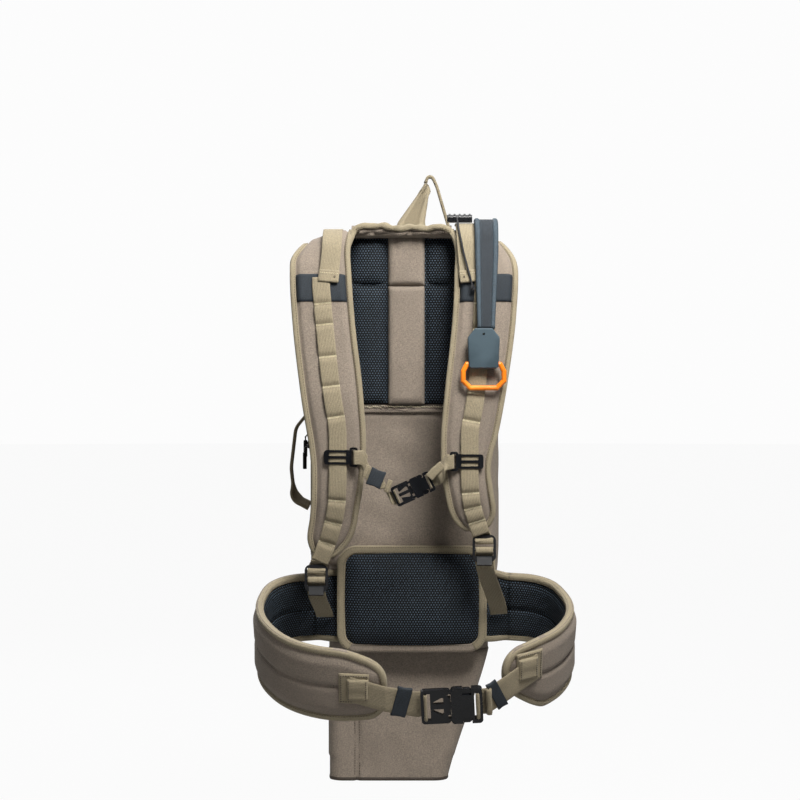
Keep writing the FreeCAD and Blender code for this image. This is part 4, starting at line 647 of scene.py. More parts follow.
def sewing_thread(name, colour):
    """Twisted thread with a slight gloss."""
    f = Finish(name)
    x, y, z = f.axes(f.place())
    twist = (x + y + z).wave(0.0007)
    speck = f.noise(f.place(), 300, 2)
    base = f.mix(speck, shade(colour, 0.7), shade(colour, 1.3))
    return f.surface(base, 0.6 + speck * 0.1, f.bump(twist, 0.0001, 0.5))


class BackpackColours(bpy.types.PropertyGroup):
    """Colours of the backpack's finishes."""


class BackpackSizes(bpy.types.PropertyGroup):
    """Sizes that a user may change without changing the frame."""


COLOURS = {
    "fabric": ("Body cloth", "Taupe heather cloth of the body", (0.229, 0.188, 0.150)),
    "binding": ("Binding", "Khaki folded tape round the padded edges", (0.292, 0.246, 0.162)),
    "webbing": ("Webbing", "Khaki woven webbing", (0.268, 0.224, 0.146)),
    "mesh": ("Spacer mesh", "Blue-black knitted mesh", (0.0105, 0.0155, 0.021)),
    "band": ("Dark bands", "Blue-black elastic and strap bands", (0.0125, 0.0175, 0.0235)),
    "plastic": ("Buckles", "Glossy black moulding", (0.0055, 0.006, 0.0075)),
    # the retainer end's colour is its own dark grey lightened and blued by painted sheen, standing in for its
    # highlights
    "moulded": ("Retainer end", "Satin slate moulding", (0.046, 0.068, 0.083)),
    # the sleeve cloth's colour, used on the sleeve's rolls, is its own dark slate lightened by painted sheen
    # of the rolls' highlights
    "sleeve": ("Retainer sleeve", "Slate cloth of the padded sleeve", (0.036, 0.053, 0.068)),
    "ring": ("Pull ring", "Bright orange moulding", (0.90, 0.215, 0.012)),
    "cord": ("Cord", "Black braided cord", (0.012, 0.012, 0.014)),
    "thread": ("Khaki thread", "Light thread of the webbing's tacks", (0.66, 0.59, 0.41)),
    "seam_thread": ("Binding thread", "Darker thread along the bindings", (0.13, 0.10, 0.062)),
    "dark_thread": ("Brown thread", "Thread of the body cloth's seams", (0.050, 0.037, 0.027)),
}
for key, (title, words, default) in COLOURS.items():
    BackpackColours.__annotations__[key] = bpy.props.FloatVectorProperty(
        name=title, description=words, subtype="COLOR", size=3, default=default, min=0.0, max=1.0)

SIZES = {
    "stitch": ("Stitch pitch", "Distance from one stitch to the next", 0.0038),
    "swell": ("Pad swell", "Furthest that a padded surface swells from its cut shape", 0.006),
    "binding": ("Binding width", "Width of the folded tape on the strap edges", 0.0085),
}
for key, (title, words, default) in SIZES.items():
    BackpackSizes.__annotations__[key] = bpy.props.FloatProperty(
        name=title, description=words, default=default, min=0.0005, max=0.05, unit="LENGTH")

# each finish: the function that makes it, its material's name, its colour or the property that holds it, and
# what else that function is told
FINISHES = {
    "fabric": (heather_cloth, "body_cloth", "fabric"),
    "binding": (woven_tape, "binding_tape", "binding", 0.0009, 0.0016, 0.8),
    "webbing": (woven_tape, "khaki_webbing", "webbing", 0.0012, 0.0021),
    "mesh": (spacer_mesh, "pad_mesh", "mesh", False),
    "lining": (spacer_mesh, "lining_mesh", "mesh", True),
    "elastic": (knitted_band, "dark_band", "band"),
    "plastic": (moulding, "glossy_plastic", "plastic", 0.16, 0.28, 300, 0.00005, 0.15),
    "matt": (moulding, "matt_plastic", "plastic", 0.5, 0.64, 500, 0.00012),
    "moulded": (moulding, "matt_moulding", "moulded", 0.26, 0.42, 900, 0.00018),
    "sleeve": (knitted_band, "sleeve_cloth", "sleeve"),
    "ring": (moulding, "orange_moulding", "ring", 0.26, 0.42, 260, 0.0001, 0.15),
    "cord": (braided_cord, "black_cord", "cord"),
    "zip": (coil_zip, "zip_coil", (0.02, 0.019, 0.018)),
    "slider": (metal, "black_casting", (0.035, 0.035, 0.037), 0.32, (2, 2, 2)),
    "stays": (metal, "mill_alloy", (0.66, 0.66, 0.68), 0.3, (30, 30, 1)),
    "magnet": (metal, "plated_steel", (0.6, 0.6, 0.62), 0.2, (8, 8, 8)),
    "sheet": (moulding, "frame_sheet_board", (0.05, 0.05, 0.05), 0.4, 0.6, 500, 0.0001),
    "thread": (sewing_thread, "khaki_thread", "thread"),
    "dark_thread": (sewing_thread, "brown_thread", "dark_thread"),
    "seam_thread": (sewing_thread, "binding_thread", "seam_thread"),
}
MATERIALS = {}


def material_of(key):
    """The named finish's material, made when it is first asked for."""
    if key not in MATERIALS:
        make, name, colour, *rest = FINISHES[key]
        if isinstance(colour, str):
            colour = getattr(bpy.context.scene.backpack_colours, colour)
        MATERIALS[key] = make(name, colour, *rest)
    return MATERIALS[key]


def pitch():
    """Distance from one stitch to the next."""
    return bpy.context.scene.backpack_sizes.stitch * METRE


# ---- the strap's own surface: everything on it is placed by it ----
STRAP_PROFILE = [(18.0, -84.0), (-42.0, -84.0), (-68.0, -170.0), (-88.0, -320.0), (-88.0, -455.0),
                 (-62.0, -560.0)]
STRAP_RADII = [36.0, 200.0, 300.0, 150.0]
# For each strap: its edges, its ladder webbing and its shoulder webbing as (x, level) points, the levels of
# the ladder's tacks and of the foot, where and how steeply the top drops to the shoulder, the middle of the
# ladder's buckle, and the (x, level) at which the adjuster webbing is sewn to the pack.
LEFT = {
    "side": -1, "name": "left",
    "outer": [(-148.0, -84.0), (-157.0, -94.0), (-163.5, -108.0), (-164.5, -136.0), (-160.0, -216.0),
              (-147.0, -323.0), (-133.0, -420.0), (-135.0, -492.0), (-139.0, -526.0), (-128.0, -551.0)],
    "inner": [(-75.0, -84.0), (-79.0, -100.0), (-78.0, -150.0), (-73.0, -216.0), (-61.0, -320.0),
              (-57.0, -400.0), (-66.0, -475.0), (-80.0, -525.0), (-104.0, -551.0)],
    "ladder": [(-120.0, -168.0), (-114.0, -229.0), (-105.0, -310.0), (-96.0, -372.0), (-96.0, -406.0),
               (-96.0, -440.0), (-99.0, -480.0), (-112.0, -527.0), (-127.0, -562.0)],
    "tacks": [-192.0, -221.0, -266.0, -308.0, -350.0, -466.0, -497.0, -526.0],
    "shoulder": [(-104.0, -70.0), (-106.0, -110.0), (-111.0, -175.0)],
    "foot": -551.0, "slope": (2.0, 0.30), "adjuster": (-127.0, -69.8, -578.0), "anchor": (-117.5, -640.0),
}
RIGHT = {
    "side": 1, "name": "right",
    "outer": [(137.0, -84.0), (147.0, -90.0), (154.0, -100.0), (157.0, -120.0), (155.0, -205.0),
              (144.0, -289.0), (129.0, -372.0), (118.0, -420.0), (123.0, -462.0), (126.0, -487.0),
              (112.0, -512.0)],
    "inner": [(62.0, -84.0), (68.0, -100.0), (69.0, -150.0), (66.0, -210.0), (55.0, -312.0),
              (49.0, -390.0), (55.0, -458.0), (68.0, -496.0), (86.0, -514.0)],
    "ladder": [(109.0, -168.0), (104.0, -256.0), (96.0, -330.0), (89.0, -372.0), (89.0, -408.0),
               (89.0, -440.0), (92.0, -470.0), (101.0, -500.0), (110.0, -524.0)],
    "tacks": [-192.0, -228.0, -276.0, -318.0, -356.0, -456.0, -476.0, -496.0],
    "shoulder": [(84.0, -70.0), (86.0, -110.0), (92.0, -175.0)],
    "foot": -513.0, "slope": (44.0, 0.62), "adjuster": (110.0, -79.2, -535.0), "anchor": (134.5, -636.0),
}
# half the strap's thickness and its lining's share of it; the sides of the belt's core; levels of the ends of
# the saddle, the shoulder webbing and the dark band; depth of the adjuster webbing's anchor
STRAP_HALF, LINING_SHARE = 7.0, 0.85
CORE_SIDES = (-99.0, 116.0)
SADDLE_END, SHOULDER_END, BAND_TOP, BAND_FOOT, ANCHOR_Y = -148.0, -163.0, -150.0, -188.0, -1.3
PROFILE_LINE = bent(STRAP_PROFILE, STRAP_RADII, 3.0)
PROFILE_NORMAL = slopes(PROFILE_LINE) @ np.array([[0, -1], [1, 0]])
PROFILE_RUN = run_of(PROFILE_LINE)


def profile_at(run):
    """Depth and level of the side profile at distances along it."""
    return [np.interp(run, PROFILE_RUN, column) for column in PROFILE_LINE.T]


def outward(run):
    """Normal of the side profile at distances along it, turned to the outside of the bend."""
    return unit(np.stack([np.interp(run, PROFILE_RUN, column) for column in PROFILE_NORMAL.T], -1))


def strap_out(run):
    """The same normal as a direction in the backpack's own axes."""
    normal = outward(run)
    return np.stack([normal[:, 0] * 0, normal[:, 0], normal[:, 1]], 1)


def run_at(level):
    """Distance along the profile at which it comes down to a level."""
    below = PROFILE_LINE[:, 1] < -84.2
    return np.interp(-np.asarray(level, float), -PROFILE_LINE[below, 1], PROFILE_RUN[below])


def saddle(strap, x, z):
    """How far the strap's top run drops to the shoulder: a slope times the distance from its inner edge."""
    start, slope = strap["slope"]
    away = strap["side"] * (x - strap["inner"][0][0]) - start
    return np.maximum(away, 0) * slope * (1 - ease(-z, 84, -SADDLE_END))


def on_strap(strap, run, x, rise):
    """Points at distances along the profile and places across it, rise in front of its middle surface."""
    y, z = profile_at(run)
    normal = outward(run)
    y, z = y + normal[..., 0] * rise, z + normal[..., 1] * rise
    return np.stack([x + 0 * y, y + 0 * x, z - saddle(strap, x, z)], -1)


def edges(strap, run):
    """Inner and outer side of the strap at distances along its profile."""
    level = profile_at(run)[1]
    return smooth(strap["inner"], level), smooth(strap["outer"], level)


def face_rise(runs, x, distance):
    """Height of the strap's padded face above its middle, by the distance from its edge: low under the
    binding, a groove beside it, full in the middle, and the cloth's unevenness on top."""
    padding = 2.6 + 4.4 * ease(distance, 6.0, 15.0) - 1.5 * np.exp(-((distance - 8.6) / 1.9) ** 2)
    return padding + ripple(runs[:, None], x, 0.55, 55.0, 3) * ease(distance, 6, 20)


def strap_body(strap):
    """Padded strap: for each distance along it, a crowned face over a flatter lining, between two edges."""
    runs = np.arange(0, run_at(strap["foot"]) + 1, 4.5)
    inner, outer = edges(strap, runs)
    share = np.sin(np.linspace(-1, 1, 31) * math.pi / 2)
    x = (inner + outer)[:, None] / 2 + (outer - inner)[:, None] / 2 * share[None]
    distance = (1 - abs(share))[None] * abs(outer - inner)[:, None] / 2
    rise = face_rise(runs, x, distance)
    front = on_strap(strap, runs[:, None], x, rise)
    cut = Cut()
    cut.sheet(front, on_strap(strap, runs[:, None], x, -rise * LINING_SHARE), 1)
    made = cut.piece("strap_" + strap["name"] + "_body", ["fabric", "lining"], "harness",
                     "shoulder_strap_" + strap["name"])
    bind_strap(strap, runs, inner, outer)


def bind_strap(strap, runs, inner, outer):
    """Folded tape carried down the strap's inner edge, round its foot and up its outer edge, with two rows of
    stitches; its cross-section is a superellipse."""
    inset = strap["side"] * 3.6
    up = strap_out(runs) * 1e-3
    down = np.hstack([on_strap(strap, runs, inner + inset, 0.0), up])
    back = np.hstack([on_strap(strap, runs, outer - inset, 0.0), up])[::-1]
    path = relax(even(np.vstack([down[:-1], back[1:]]), 4.0), 5)
    line, up = path[:, :3], unit(path[:, 3:])
    width = bpy.context.scene.backpack_sizes.binding * METRE
    cut = Cut()
    cut.tube(carried(line, up, oval(width, 9.8, 14, 3.0)))
    inward = unit(np.cross(slopes(line), up)) * -strap["side"]
    for face in (1, -1):
        cut.stitches(line + inward * width * 0.27 + up * face * 4.75, up * face, pitch(), 2.5, 1.0)
    cut.piece("strap_" + strap["name"] + "_binding", ["binding", "seam_thread"], "harness")


def ladder(strap):
    """Ladder webbing: it bows out between its tacks, is pressed to the strap at each of them, and ends round
    the bar of its buckle."""
    top, foot = strap["ladder"][0][1] + 12, strap["foot"] - 1
    runs = np.arange(run_at(top), run_at(foot), 2.0)
    x = smooth(strap["ladder"], profile_at(runs)[1])
    tack_runs = run_at(np.array(strap["tacks"]))
    away = np.min(abs(runs[:, None] - tack_runs[None]), axis=1)
    lift = 0.2 + 3.1 * (1 - np.exp(-(away / 4.5) ** 2))
    line = on_strap(strap, runs, x, STRAP_HALF + lift + 0.5)
    up = strap_out(runs)
    cut = Cut()
    bow = tape(25, 1.5, 11)
    shape = np.broadcast_to(bow, (len(line),) + bow.shape).copy()
    belly = (1 - (bow[:, 0] / 12.5) ** 2) * 0.5
    shape[..., 1] += belly[None] * (1 - np.exp(-(away / 5.0) ** 2))[:, None]
    cut.tube(carried(line, up, shape), 0, bow[:, 0])
    tangent = slopes(line)
    side = unit(np.cross(tangent, up))
    for at in tack_runs:
        k = int(np.argmin(abs(runs - at)))
        row = line[k] + side[k] * np.linspace(-11.4, 11.4, 12)[:, None] + up[k] * 1.05
        for shift in (-0.7, 0.7):
            cut.stitches(row + tangent[k] * shift, up[k], 1.9, 1.8, 1.4)
    x0, y0, z0 = strap["adjuster"]
    bar = z0 + 10.0
    _, end_y, end_z = end = line[-1]
    around = bent([(end_y - 0.4, end_z + 2), (end_y + 0.6, z0 + 24.5), (y0 + 4.0, z0 + 18.6),
                   (y0 + 4.0, bar - 3.6), (y0 - 3.4, bar - 3.6), (y0 - 3.4, bar + 3.4),
                   (y0 + 0.6, bar + 3.4)], [1.5, 3.0, 3.0, 3.0, 2.6], 1.0)
    points = lift_plane(around, (1, 2))
    points[:, 0] = x0 + (end[0] - x0) * ease(around[:, 1], bar, end_z)
    cut.standing(points, ACROSS, tape(25, 1.5))
    cut.piece("ladder_webbing_" + strap["name"] + "_cloth", ["webbing", "thread"], "harness",
              "ladder_webbing_" + strap["name"])


def shoulder_tape(strap):
    """Shoulder webbing: over the saddle on top of the ladder webbing, its end folded double and tacked."""
    runs = np.arange(2.0, run_at(SHOULDER_END), 2.5)
    levels = profile_at(runs)[1]
    x = smooth(strap["shoulder"], levels)
    line = on_strap(strap, runs, x, 11.9 - 1.2 * ease(-levels, 90, 150))
    up = strap_out(runs)
    cut = Cut()
    cut.lying(line, up, tape(28, 1.6, 9))
    # the folded end: a second layer in front that turns under at its foot
    fold = line[-8:] + up[-8:] * (1.9 + 0.6 * np.linspace(0, 1, 8)[:, None] ** 2)
    cut.lying(fold, up[-8:], tape(29, 1.8, 9))
    tangent = slopes(line)
    side = unit(np.cross(tangent, up))
    row = np.linspace(-12, 12, 9)[:, None]
    cut.stitches(fold[2] + side[-6] * row + up[-6] * 1.1, up[-6], 2.6, 2.0, 0.8)
    dot = fold[4] + side[-4] * strap["side"] * 8.5 + up[-4] * 1.3
    turn = np.linspace(0, 2 * math.pi, 13)[:-1, None]
    round_dot = dot + side[-4] * np.cos(turn) * 1.1 + tangent[-4] * np.sin(turn) * 1.1
    cut.stitches(round_dot, up[-4], 1.0, 1.4, 1.0, 2, True)
    cut.piece("shoulder_webbing_" + strap["name"] + "_cloth", ["webbing", "thread", "dark_thread"], "harness",
              "shoulder_webbing_" + strap["name"])


def strap_band(strap):
    """Dark band sewn across the strap's face: the face's own height plus the band's thickness."""
    runs = np.linspace(run_at(BAND_TOP), run_at(BAND_FOOT), 12)
    inner, outer = edges(strap, runs)
    inset = 8.0
    inner, outer = inner + strap["side"] * inset, outer - strap["side"] * inset
    share = np.linspace(0, 1, 25)
    x = inner[:, None] + (outer - inner)[:, None] * share
    distance = np.minimum(share, 1 - share)[None] * abs(outer - inner)[:, None] + inset
    rise = face_rise(runs, x, distance)
    front = on_strap(strap, runs[:, None], x, rise + 1.1)
    cut = Cut()
    cut.sheet(front, on_strap(strap, runs[:, None], x, rise - 0.6))
    for k in (1, -2):
        cut.stitches(front[k], (0, -1, 0.25), 3.2, 2.2, 0.6)
    cut.piece("strap_band_" + strap["name"] + "_cloth", ["elastic", "elastic"], "harness",
              "strap_band_" + strap["name"])


def adjuster_tape(strap):
    """Free webbing from the ladder buckle's grip bar down and back to its anchor; it runs between the pack,
    to which it is sewn, and the harness, whose buckle holds it, and is given no body."""
    x0, y0, z0 = strap["adjuster"]
    ax, az = strap["anchor"]
    cut = Cut()
    rear, leave = y0 + 3.3, z0 - 19
    points = lift_plane(bent([(rear, z0 + 2.5), (rear, z0 - 25), (ANCHOR_Y, az)], [20.0], 2.5), (1, 2))
    straight = np.clip((leave - points[:, 2]) / (leave - az), 0, 1)
    share = ease(-points[:, 2], -leave, -az) * 0.6 + 0.4 * straight
    points[:, 0] = x0 + (ax - x0) * share
    cut.standing(points, ACROSS, tape(25, 1.5, 9))
    made = cut.piece("adjuster_webbing_" + strap["name"] + "_cloth", ["webbing"], None,
                     "adjuster_webbing_" + strap["name"])
    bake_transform(made)
    # the part held in the buckle: round the grip bar and out in front as a short tail
    grip = bent([(rear, z0 - 15), (rear, z0 + 1.6), (y0 - 4.4, z0 + 1.6), (y0 - 4.4, z0 - 5.4),
                 (y0 + 1.2, z0 - 7.6)], [3.4, 3.2, 2.4], 1.0)
    cut = Cut()
    cut.standing(lift_plane(grip, (1, 2), x0), ACROSS, tape(24.4, 1.3, 7))
    cut.piece("adjuster_fold_" + strap["name"], ["webbing"], "harness")


# ---- back of the pack ----
# level at which the centre strip's two lengths meet
STRIP_SPLIT = -161.0


def back_panel():
    """Brown panel between the straps, crowned at its border, with shallow waves and a fold under the hem."""
    box = node_box("back_panel")
    cut = Cut()
    fold = lambda x, z, border: -1.1 * np.exp(-((z + 352 + 0.02 * x) / 7) ** 2) * ease(border, 0, 30)
    pad(cut, box, corner=34.0, rounding=9.0, step=5.0, edge=0.35, wave=0.9, seed=5, shape=fold)
    cut.piece("panel_cloth", ["fabric"], "pack", "back_panel")
    low, high = node_box("belt_core")
    low[0], high[0] = CORE_SIDES
    cut = Cut()
    pad(cut, (low + 0.2, high - 0.2), corner=8.0, rounding=6.0, step=5.0, edge=0.5, wave=0.4, seed=6)
    cut.piece("belt_core_cloth", ["mesh"], "pack", "belt_core")


def mesh_pads():
    """Four mesh pads beside the centre strip: swollen cloth, held at its seams, higher along its middle."""
    strips = node_box("spine_strips")
    low, high = node_box("mesh_pads_upper", "mesh_pads_lower")
    cut = Cut()
    base = (low[0] - 4, -3.0, low[2] + 1), high + (3.6, -0.4, 9.0)
    pad(cut, base, corner=4.0, rounding=3.0, step=6.0, edge=0.4, wave=0.1, seed=12)
    cut.piece("mesh_pad_base", ["mesh"], "pack")
    for level in ("upper", "lower"):
        node = "mesh_pads_" + level
        low, high = node_box(node)
        for side, x0, x1 in (("left", low[0], strips[0][0] - 0.3), ("right", strips[1][0] + 0.3, high[0])):
            cut = Cut()
            inner = (x0 + 0.6, low[1] + 3.2, low[2] + 0.6), (x1 - 0.6, high[1], high[2] - 0.6)
            reach = (x1 - x0) / 2, (high[2] - low[2]) / 2
            centre = (x0 + x1) / 2, (low[2] + high[2]) / 2

            def swell(x, z, border):
                """How far the face drops: the share across squared, and the share along to the fourth."""
                away = ((x - centre[0]) / reach[0]) ** 2 + 0.7 * ((z - centre[1]) / reach[1]) ** 4
                return 3.4 * np.minimum(away, 1.2)

            pad(cut, inner, corner=6.0, rounding=15.0, step=3.0, edge=0.22, wave=0.5, seed=11, shape=swell)
            made = cut.piece("mesh_pad_" + level + "_" + side, ["mesh"], "pack", node)
            box = (x0, low[1], low[2]), (x1, high[1], high[2])
            cap = bpy.context.scene.backpack_sizes.swell * METRE
            puffed(made, 4.0, cap, lambda p: p[:, 1] > high[1] - 2.4, box)
            subdivided(made)


def centre_strip():
    """Brown strip down the middle in two lengths, with a tuck where they meet and a bare embroidery place."""
    low, high = node_box("spine_strips")
    cut = Cut()

    def tuck(x, z, border):
        """How far the face is drawn in: creases where the lengths meet and over the hem, and small waves."""
        crease = 2.4 * np.exp(-((z - STRIP_SPLIT) / 3.2) ** 2) + 1.0 * np.exp(-((z - low[2] - 5) / 4.0) ** 2)
        return crease + 0.35 * np.sin(z / 7.0 + x / 9.0) * np.exp(-((z - STRIP_SPLIT) / 26) ** 2)

    pad(cut, (low, (high[0], high[1], STRIP_SPLIT + 0.5)), corner=2.0, rounding=9.0, step=2.6, edge=0.35,
        wave=0.5, seed=21, shape=tuck)
    pad(cut, ((low[0], low[1], STRIP_SPLIT - 0.5), high + (0, 0, 7.0)), corner=2.0, rounding=9.0, step=2.6,
        edge=0.35, wave=0.6, seed=22, shape=tuck)
    for x in (low[0] + 2.4, high[0] - 2.4):
        line = even([(x, low[1] + 5.2, high[2] - 4), (x, low[1] + 5.2, low[2] + 4)], 4)
        cut.stitches(line, OUT, pitch(), 2.4, 0.6)
    made = cut.piece("spine_strip_cloth", ["fabric", "dark_thread"], "pack", "spine_strips")
    low, high = node_box("panel_hem")
    cut = Cut()
    bead = lambda x, z, border: -0.6 * np.sin((z - low[2]) / (high[2] - low[2]) * 2 * math.pi)
    pad(cut, (low, high), corner=1.0, rounding=3.0, step=1.6, edge=0.4, wave=0.5, seed=23, shape=bead)
    rng = np.random.default_rng(4)
    across = np.arange(low[0] + 2, high[0] - 1, 3.0)
    for level, tone, size in ((1.6, 1, 3.0), (4.6, 1, 4.2), (7.4, 1, 4.4), (9.6, 2, 3.2), (11.0, 1, 3.0)):
        heights = low[2] + level + rng.normal(0, 0.7, len(across))
        row = np.stack([across, 0 * across + low[1] - 0.2, heights], 1)
        cut.stitches(row, OUT, 3.4, size, 1.5, tone, lean=0.5)
    cut.piece("panel_hem_cloth", ["fabric", "dark_thread", "thread"], "pack", "panel_hem")


def lumbar():
    """Lumbar cushion: a mesh dome swollen out of a bound, double-stitched rim, with a brown gusset below."""
    low, high = node_box("lumbar_pad")
    rim_low, rim_high = node_box("lumbar_binding")
    cut = Cut()
    start = (np.array((rim_low[0] + 6, low[1] + 9.0, rim_low[2] + 6)),
             np.array((rim_high[0] - 6, high[1], rim_high[2] - 6)))
    middle, reach = (start[0] + start[1]) / 2, (start[1] - start[0]) / 2

    def dome(x, z, border):
        """How far the face drops away from its middle: powers of the share across and along, added up."""
        away = abs((x - middle[0]) / reach[0]) ** 2.4 + abs((z - middle[2]) / reach[2]) ** 2.4
        return 7.0 * np.minimum(away, 1.3)

    start[0][1] -= 2.5
    pad(cut, start, corner=24.0, rounding=34.0, step=4.0, edge=0.14, wave=0.3, seed=31, shape=dome)
    made = cut.piece("lumbar_mesh", ["mesh"], "pack", "lumbar_pad")
    puffed(made, 4.5, 9.0, lambda p: p[:, 1] > high[1] - 4.0, (low - (7, 0, 7), high + (7, 0, 7)))
    subdivided(made)
    cut = Cut()
    inset = 6.5
    rim = ring(rim_low[0] + inset, rim_high[0] - inset, rim_low[2] + inset, rim_high[2] - inset, 22.0, 190)
    line = lift_plane(rim, (0, 2), -9.6)
    up = np.array(OUT)
    under = line[:, 2] < rim_low[2] + 10
    bound = np.roll(line, -np.flatnonzero(under)[-1], 0)[:int((~under).sum()) + 2]
    cut.tube(carried(bound, up, oval(12.6, 5.2, 14, 3.2)))
    cut.tube(carried(line[under], up, oval(12.0, 4.6, 14, 3.2)), 1)
    cut.hoop(line + (0, 4.6, 0), up, oval(11.0, 8.4, 12, 5.0), 1)
    outward_side = unit(np.cross(slopes(line, True), up))
    sign = np.sign(((line - line.mean(0)) * outward_side).sum(1))[:, None]
    for away in (-3.9, 3.4):
        cut.stitches(line + outward_side * sign * away + up * 2.5, up, pitch() * 0.9, 2.4, 1.0, 2, True)
    cut.piece("lumbar_binding_cloth", ["binding", "fabric", "seam_thread"], "pack", "lumbar_binding")


# ---- yoke and haul loop ----
def yoke():
    """Gathered top between the straps: a roll of cloth whose radius follows three sines, for a row of folds,
    and a bound edge that runs over it from one strap's inner binding to the other's."""
    low, high = node_box("yoke")
    low, high = low - (9.0, 0, 2.0), high + (9.0, 0, 3.5)
    x = np.linspace(low[0], high[0], 90)
    middle = (low + high) / 2
    shape = oval(high[1] - low[1] - 3, high[2] - low[2] - 1.6, 28, 4.0)
    gather = (np.sin(x / 4.6) * 0.5 + np.sin(x / 2.7 + 1.0) * 0.3 + np.sin(x / 9.5 + 2) * 0.7)[:, None]
    push = 1 + 0.06 * gather * ease(np.stack([-shape[:, 0]] * len(x)), -5, 20)
    shift = 0.9 * gather * ease(-shape[None, :, 0], 0, 20)
    points = np.stack([np.broadcast_to(x[:, None], push.shape) + shift, middle[1] + shape[None, :, 0] * push,
                       middle[2] + shape[None, :, 1] * push * 0.98], 2)
    cut = Cut()
    cut.tube(points)
    arch = [(-88.0, -120.0), (-80.5, -99.0), (-73.5, -80.5), (-60.0, -75.6), (-30.0, -77.0), (-8.0, -80.0),
            (10.0, -78.5), (36.0, -79.0), (52.0, -77.5), (65.0, -84.0), (71.5, -99.0), (79.0, -120.0)]
    line = relax(even(lift_plane(arch, (0, 2), -34.0), 2.0), 6)
    x = line[:, 0]
    bunch = ease(-abs(x + 6), -58, -40)
    depth = bunch * (0.9 * np.sin(x / 4.0) + 5.0) - 8.0 * (1 - ease(line[:, 2], -104, -82))
    line = line + np.stack([0 * x, depth, bunch * (0.9 * np.sin(x / 6.5 + 0.6) + 0.5 * np.sin(x / 2.9))], 1)
    shape = oval(8.6, 7.4, 14, 2.6)
    swell = 1 + 0.10 * bunch * np.sin(x / 2.6) + 0.08 * bunch * np.sin(x / 4.4 + 2)
    cut.tube(carried(line, (0, -1, 0.02), shape * swell[:, None, None]), 1)
    cut.stitches(line + (0, -3.6, -1.8), (0, -1, -0.2), pitch(), 2.5, 1.0, 2)
    inside = abs(x + 6) < 62
    x = x[inside]
    sink = np.stack([0 * x, 4.0 + 1.2 * np.sin(x / 5), -6.0 + 1.0 * np.sin(x / 4.2 + 1)], 1)
    under = line[inside] + sink
    cut.tube(carried(under, OUT, oval(7.4, 6.0, 12, 2.2)))
    cut.stitches(under + (0, -3.0, -1.2), OUT, 3.4, 2.4, 1.0, 3, lean=0.3)
    cut.piece("yoke_cloth", ["fabric", "binding", "seam_thread", "dark_thread"], "pack", "yoke")


def haul_loop():
    """Grab loop: webbing sewn flat at its left foot, folded over the top, on edge at its right. Its width
    falls and its cross-section turns a quarter round with the distance along it."""
    route = [(5.5, -88.0), (8.0, -66.0), (27.0, -22.0), (31.0, 0.2), (38.5, 0.2), (45.0, -14.0),
             (66.0, -86.0)]
    line = relax(bent(lift_plane(route, (0, 2), HOOK[1]), [14, 40, 3.6, 4.4, 24], 2.0), 2)
    run = run_of(line)
    turn = ease(run, 62, 84) * math.pi / 2
    half = 25.0 - 19.4 * np.clip((run - 2) / 74, 0, 1)
    flat = tape(2.0, 1.0, 13)
    across = flat[:, 0]
    fold = 4.2 * ease(across, 0.30, 0.46)[None] * ease(run, 6, 60)[:, None] * (1 - ease(run, 70, 92))[:, None]
    tangent = slopes(line)
    wide = np.stack([np.cos(turn), np.sin(turn), 0 * turn], 1)
    wide = unit(wide - tangent * (wide * tangent).sum(1)[:, None] * ease(run, 60, 86)[:, None])
    normal = unit(np.cross(tangent, wide))
    normal = np.where(normal[:, 1:2] > 0.02, -normal, normal)
    thick = 1.3 + 0.8 * ease(run, 50, 80)
    points = (line[:, None] + wide[:, None] * (across[None] * half[:, None])[..., None]
              + normal[:, None] * (np.sign(flat[:, 1]) * thick[:, None] + fold)[..., None])
    cut = Cut()
    cut.tube(points, 0, across * 22)
    cut.stitches([(-18, 19.8, -84), (28, 19.8, -84)], OUT, 2.6, 2.2, 0.9)
    cut.piece("haul_loop_cloth", ["webbing", "thread"], "pack", "haul_loop")


# ---- quick-pull retainer ------------------------------------------------------------------------------
def hook_sleeve():
    """Padded sleeve over the right shoulder: a flat band between two rolls, carried to the moulded end."""
    line = lift_plane(bent([(-24.0, -66.5), (-54.0, -66.5), (-104.0, -226.0)], [38.0], 3.0), (1, 2))
    level = line[:, 2]
    left = np.interp(-level, [0, 120, 226], [96.6, 97.4, 99.2])
    right = np.interp(-level, [0, 120, 226], [132.4, 130.4, 123.8])
    line[:, 0] = (left + right) / 2
    line[:, 2] -= saddle(RIGHT, line[:, 0], level) * 0.55
    half = (right - left)[:, None] / 2
    band = np.broadcast_to(oval(2.0, 5.2, 22, 4.0), (len(line), 22, 2)).copy()
    band[..., 0] *= half - 3.0
    roll = np.broadcast_to(oval(2.0, 8.8, 16, 2.2), (len(line), 16, 2)).copy()
    roll[..., 0] *= half * 0.25
    cut = Cut()
    up = np.array((0, -1, 0.3))
    side = unit(np.cross(slopes(line), up))
    out = unit(np.cross(side, slopes(line)))
    cut.tube(carried(line, up, band))
    # the rolls take the sleeve colour, lighter than the band between them: their own slate plus painted sheen
    # of their highlights
    for way in (-1, 1):
        cut.tube(carried(line + side * way * half * 0.75, up, roll), 1)
        cut.stitches(line + side * way * half * 0.42 + out * 2.6, out, 3.0, 2.0, 0.5)
    made = cut.piece("hook_sleeve_cloth", ["elastic", "sleeve"], "retainer", "hook_sleeve")


CORD_ROUTE = [(73.4, -28.0, -66.0), (73.8, -41.6, -73.6), (75.2, -54.8, -85.6), (77.8, -63.8, -100.0),
              (81.2, -70.0, -118.0), (85.6, -75.2, -136.0), (90.2, -80.2, -153.0), (93.6, -83.6, -167.0)]


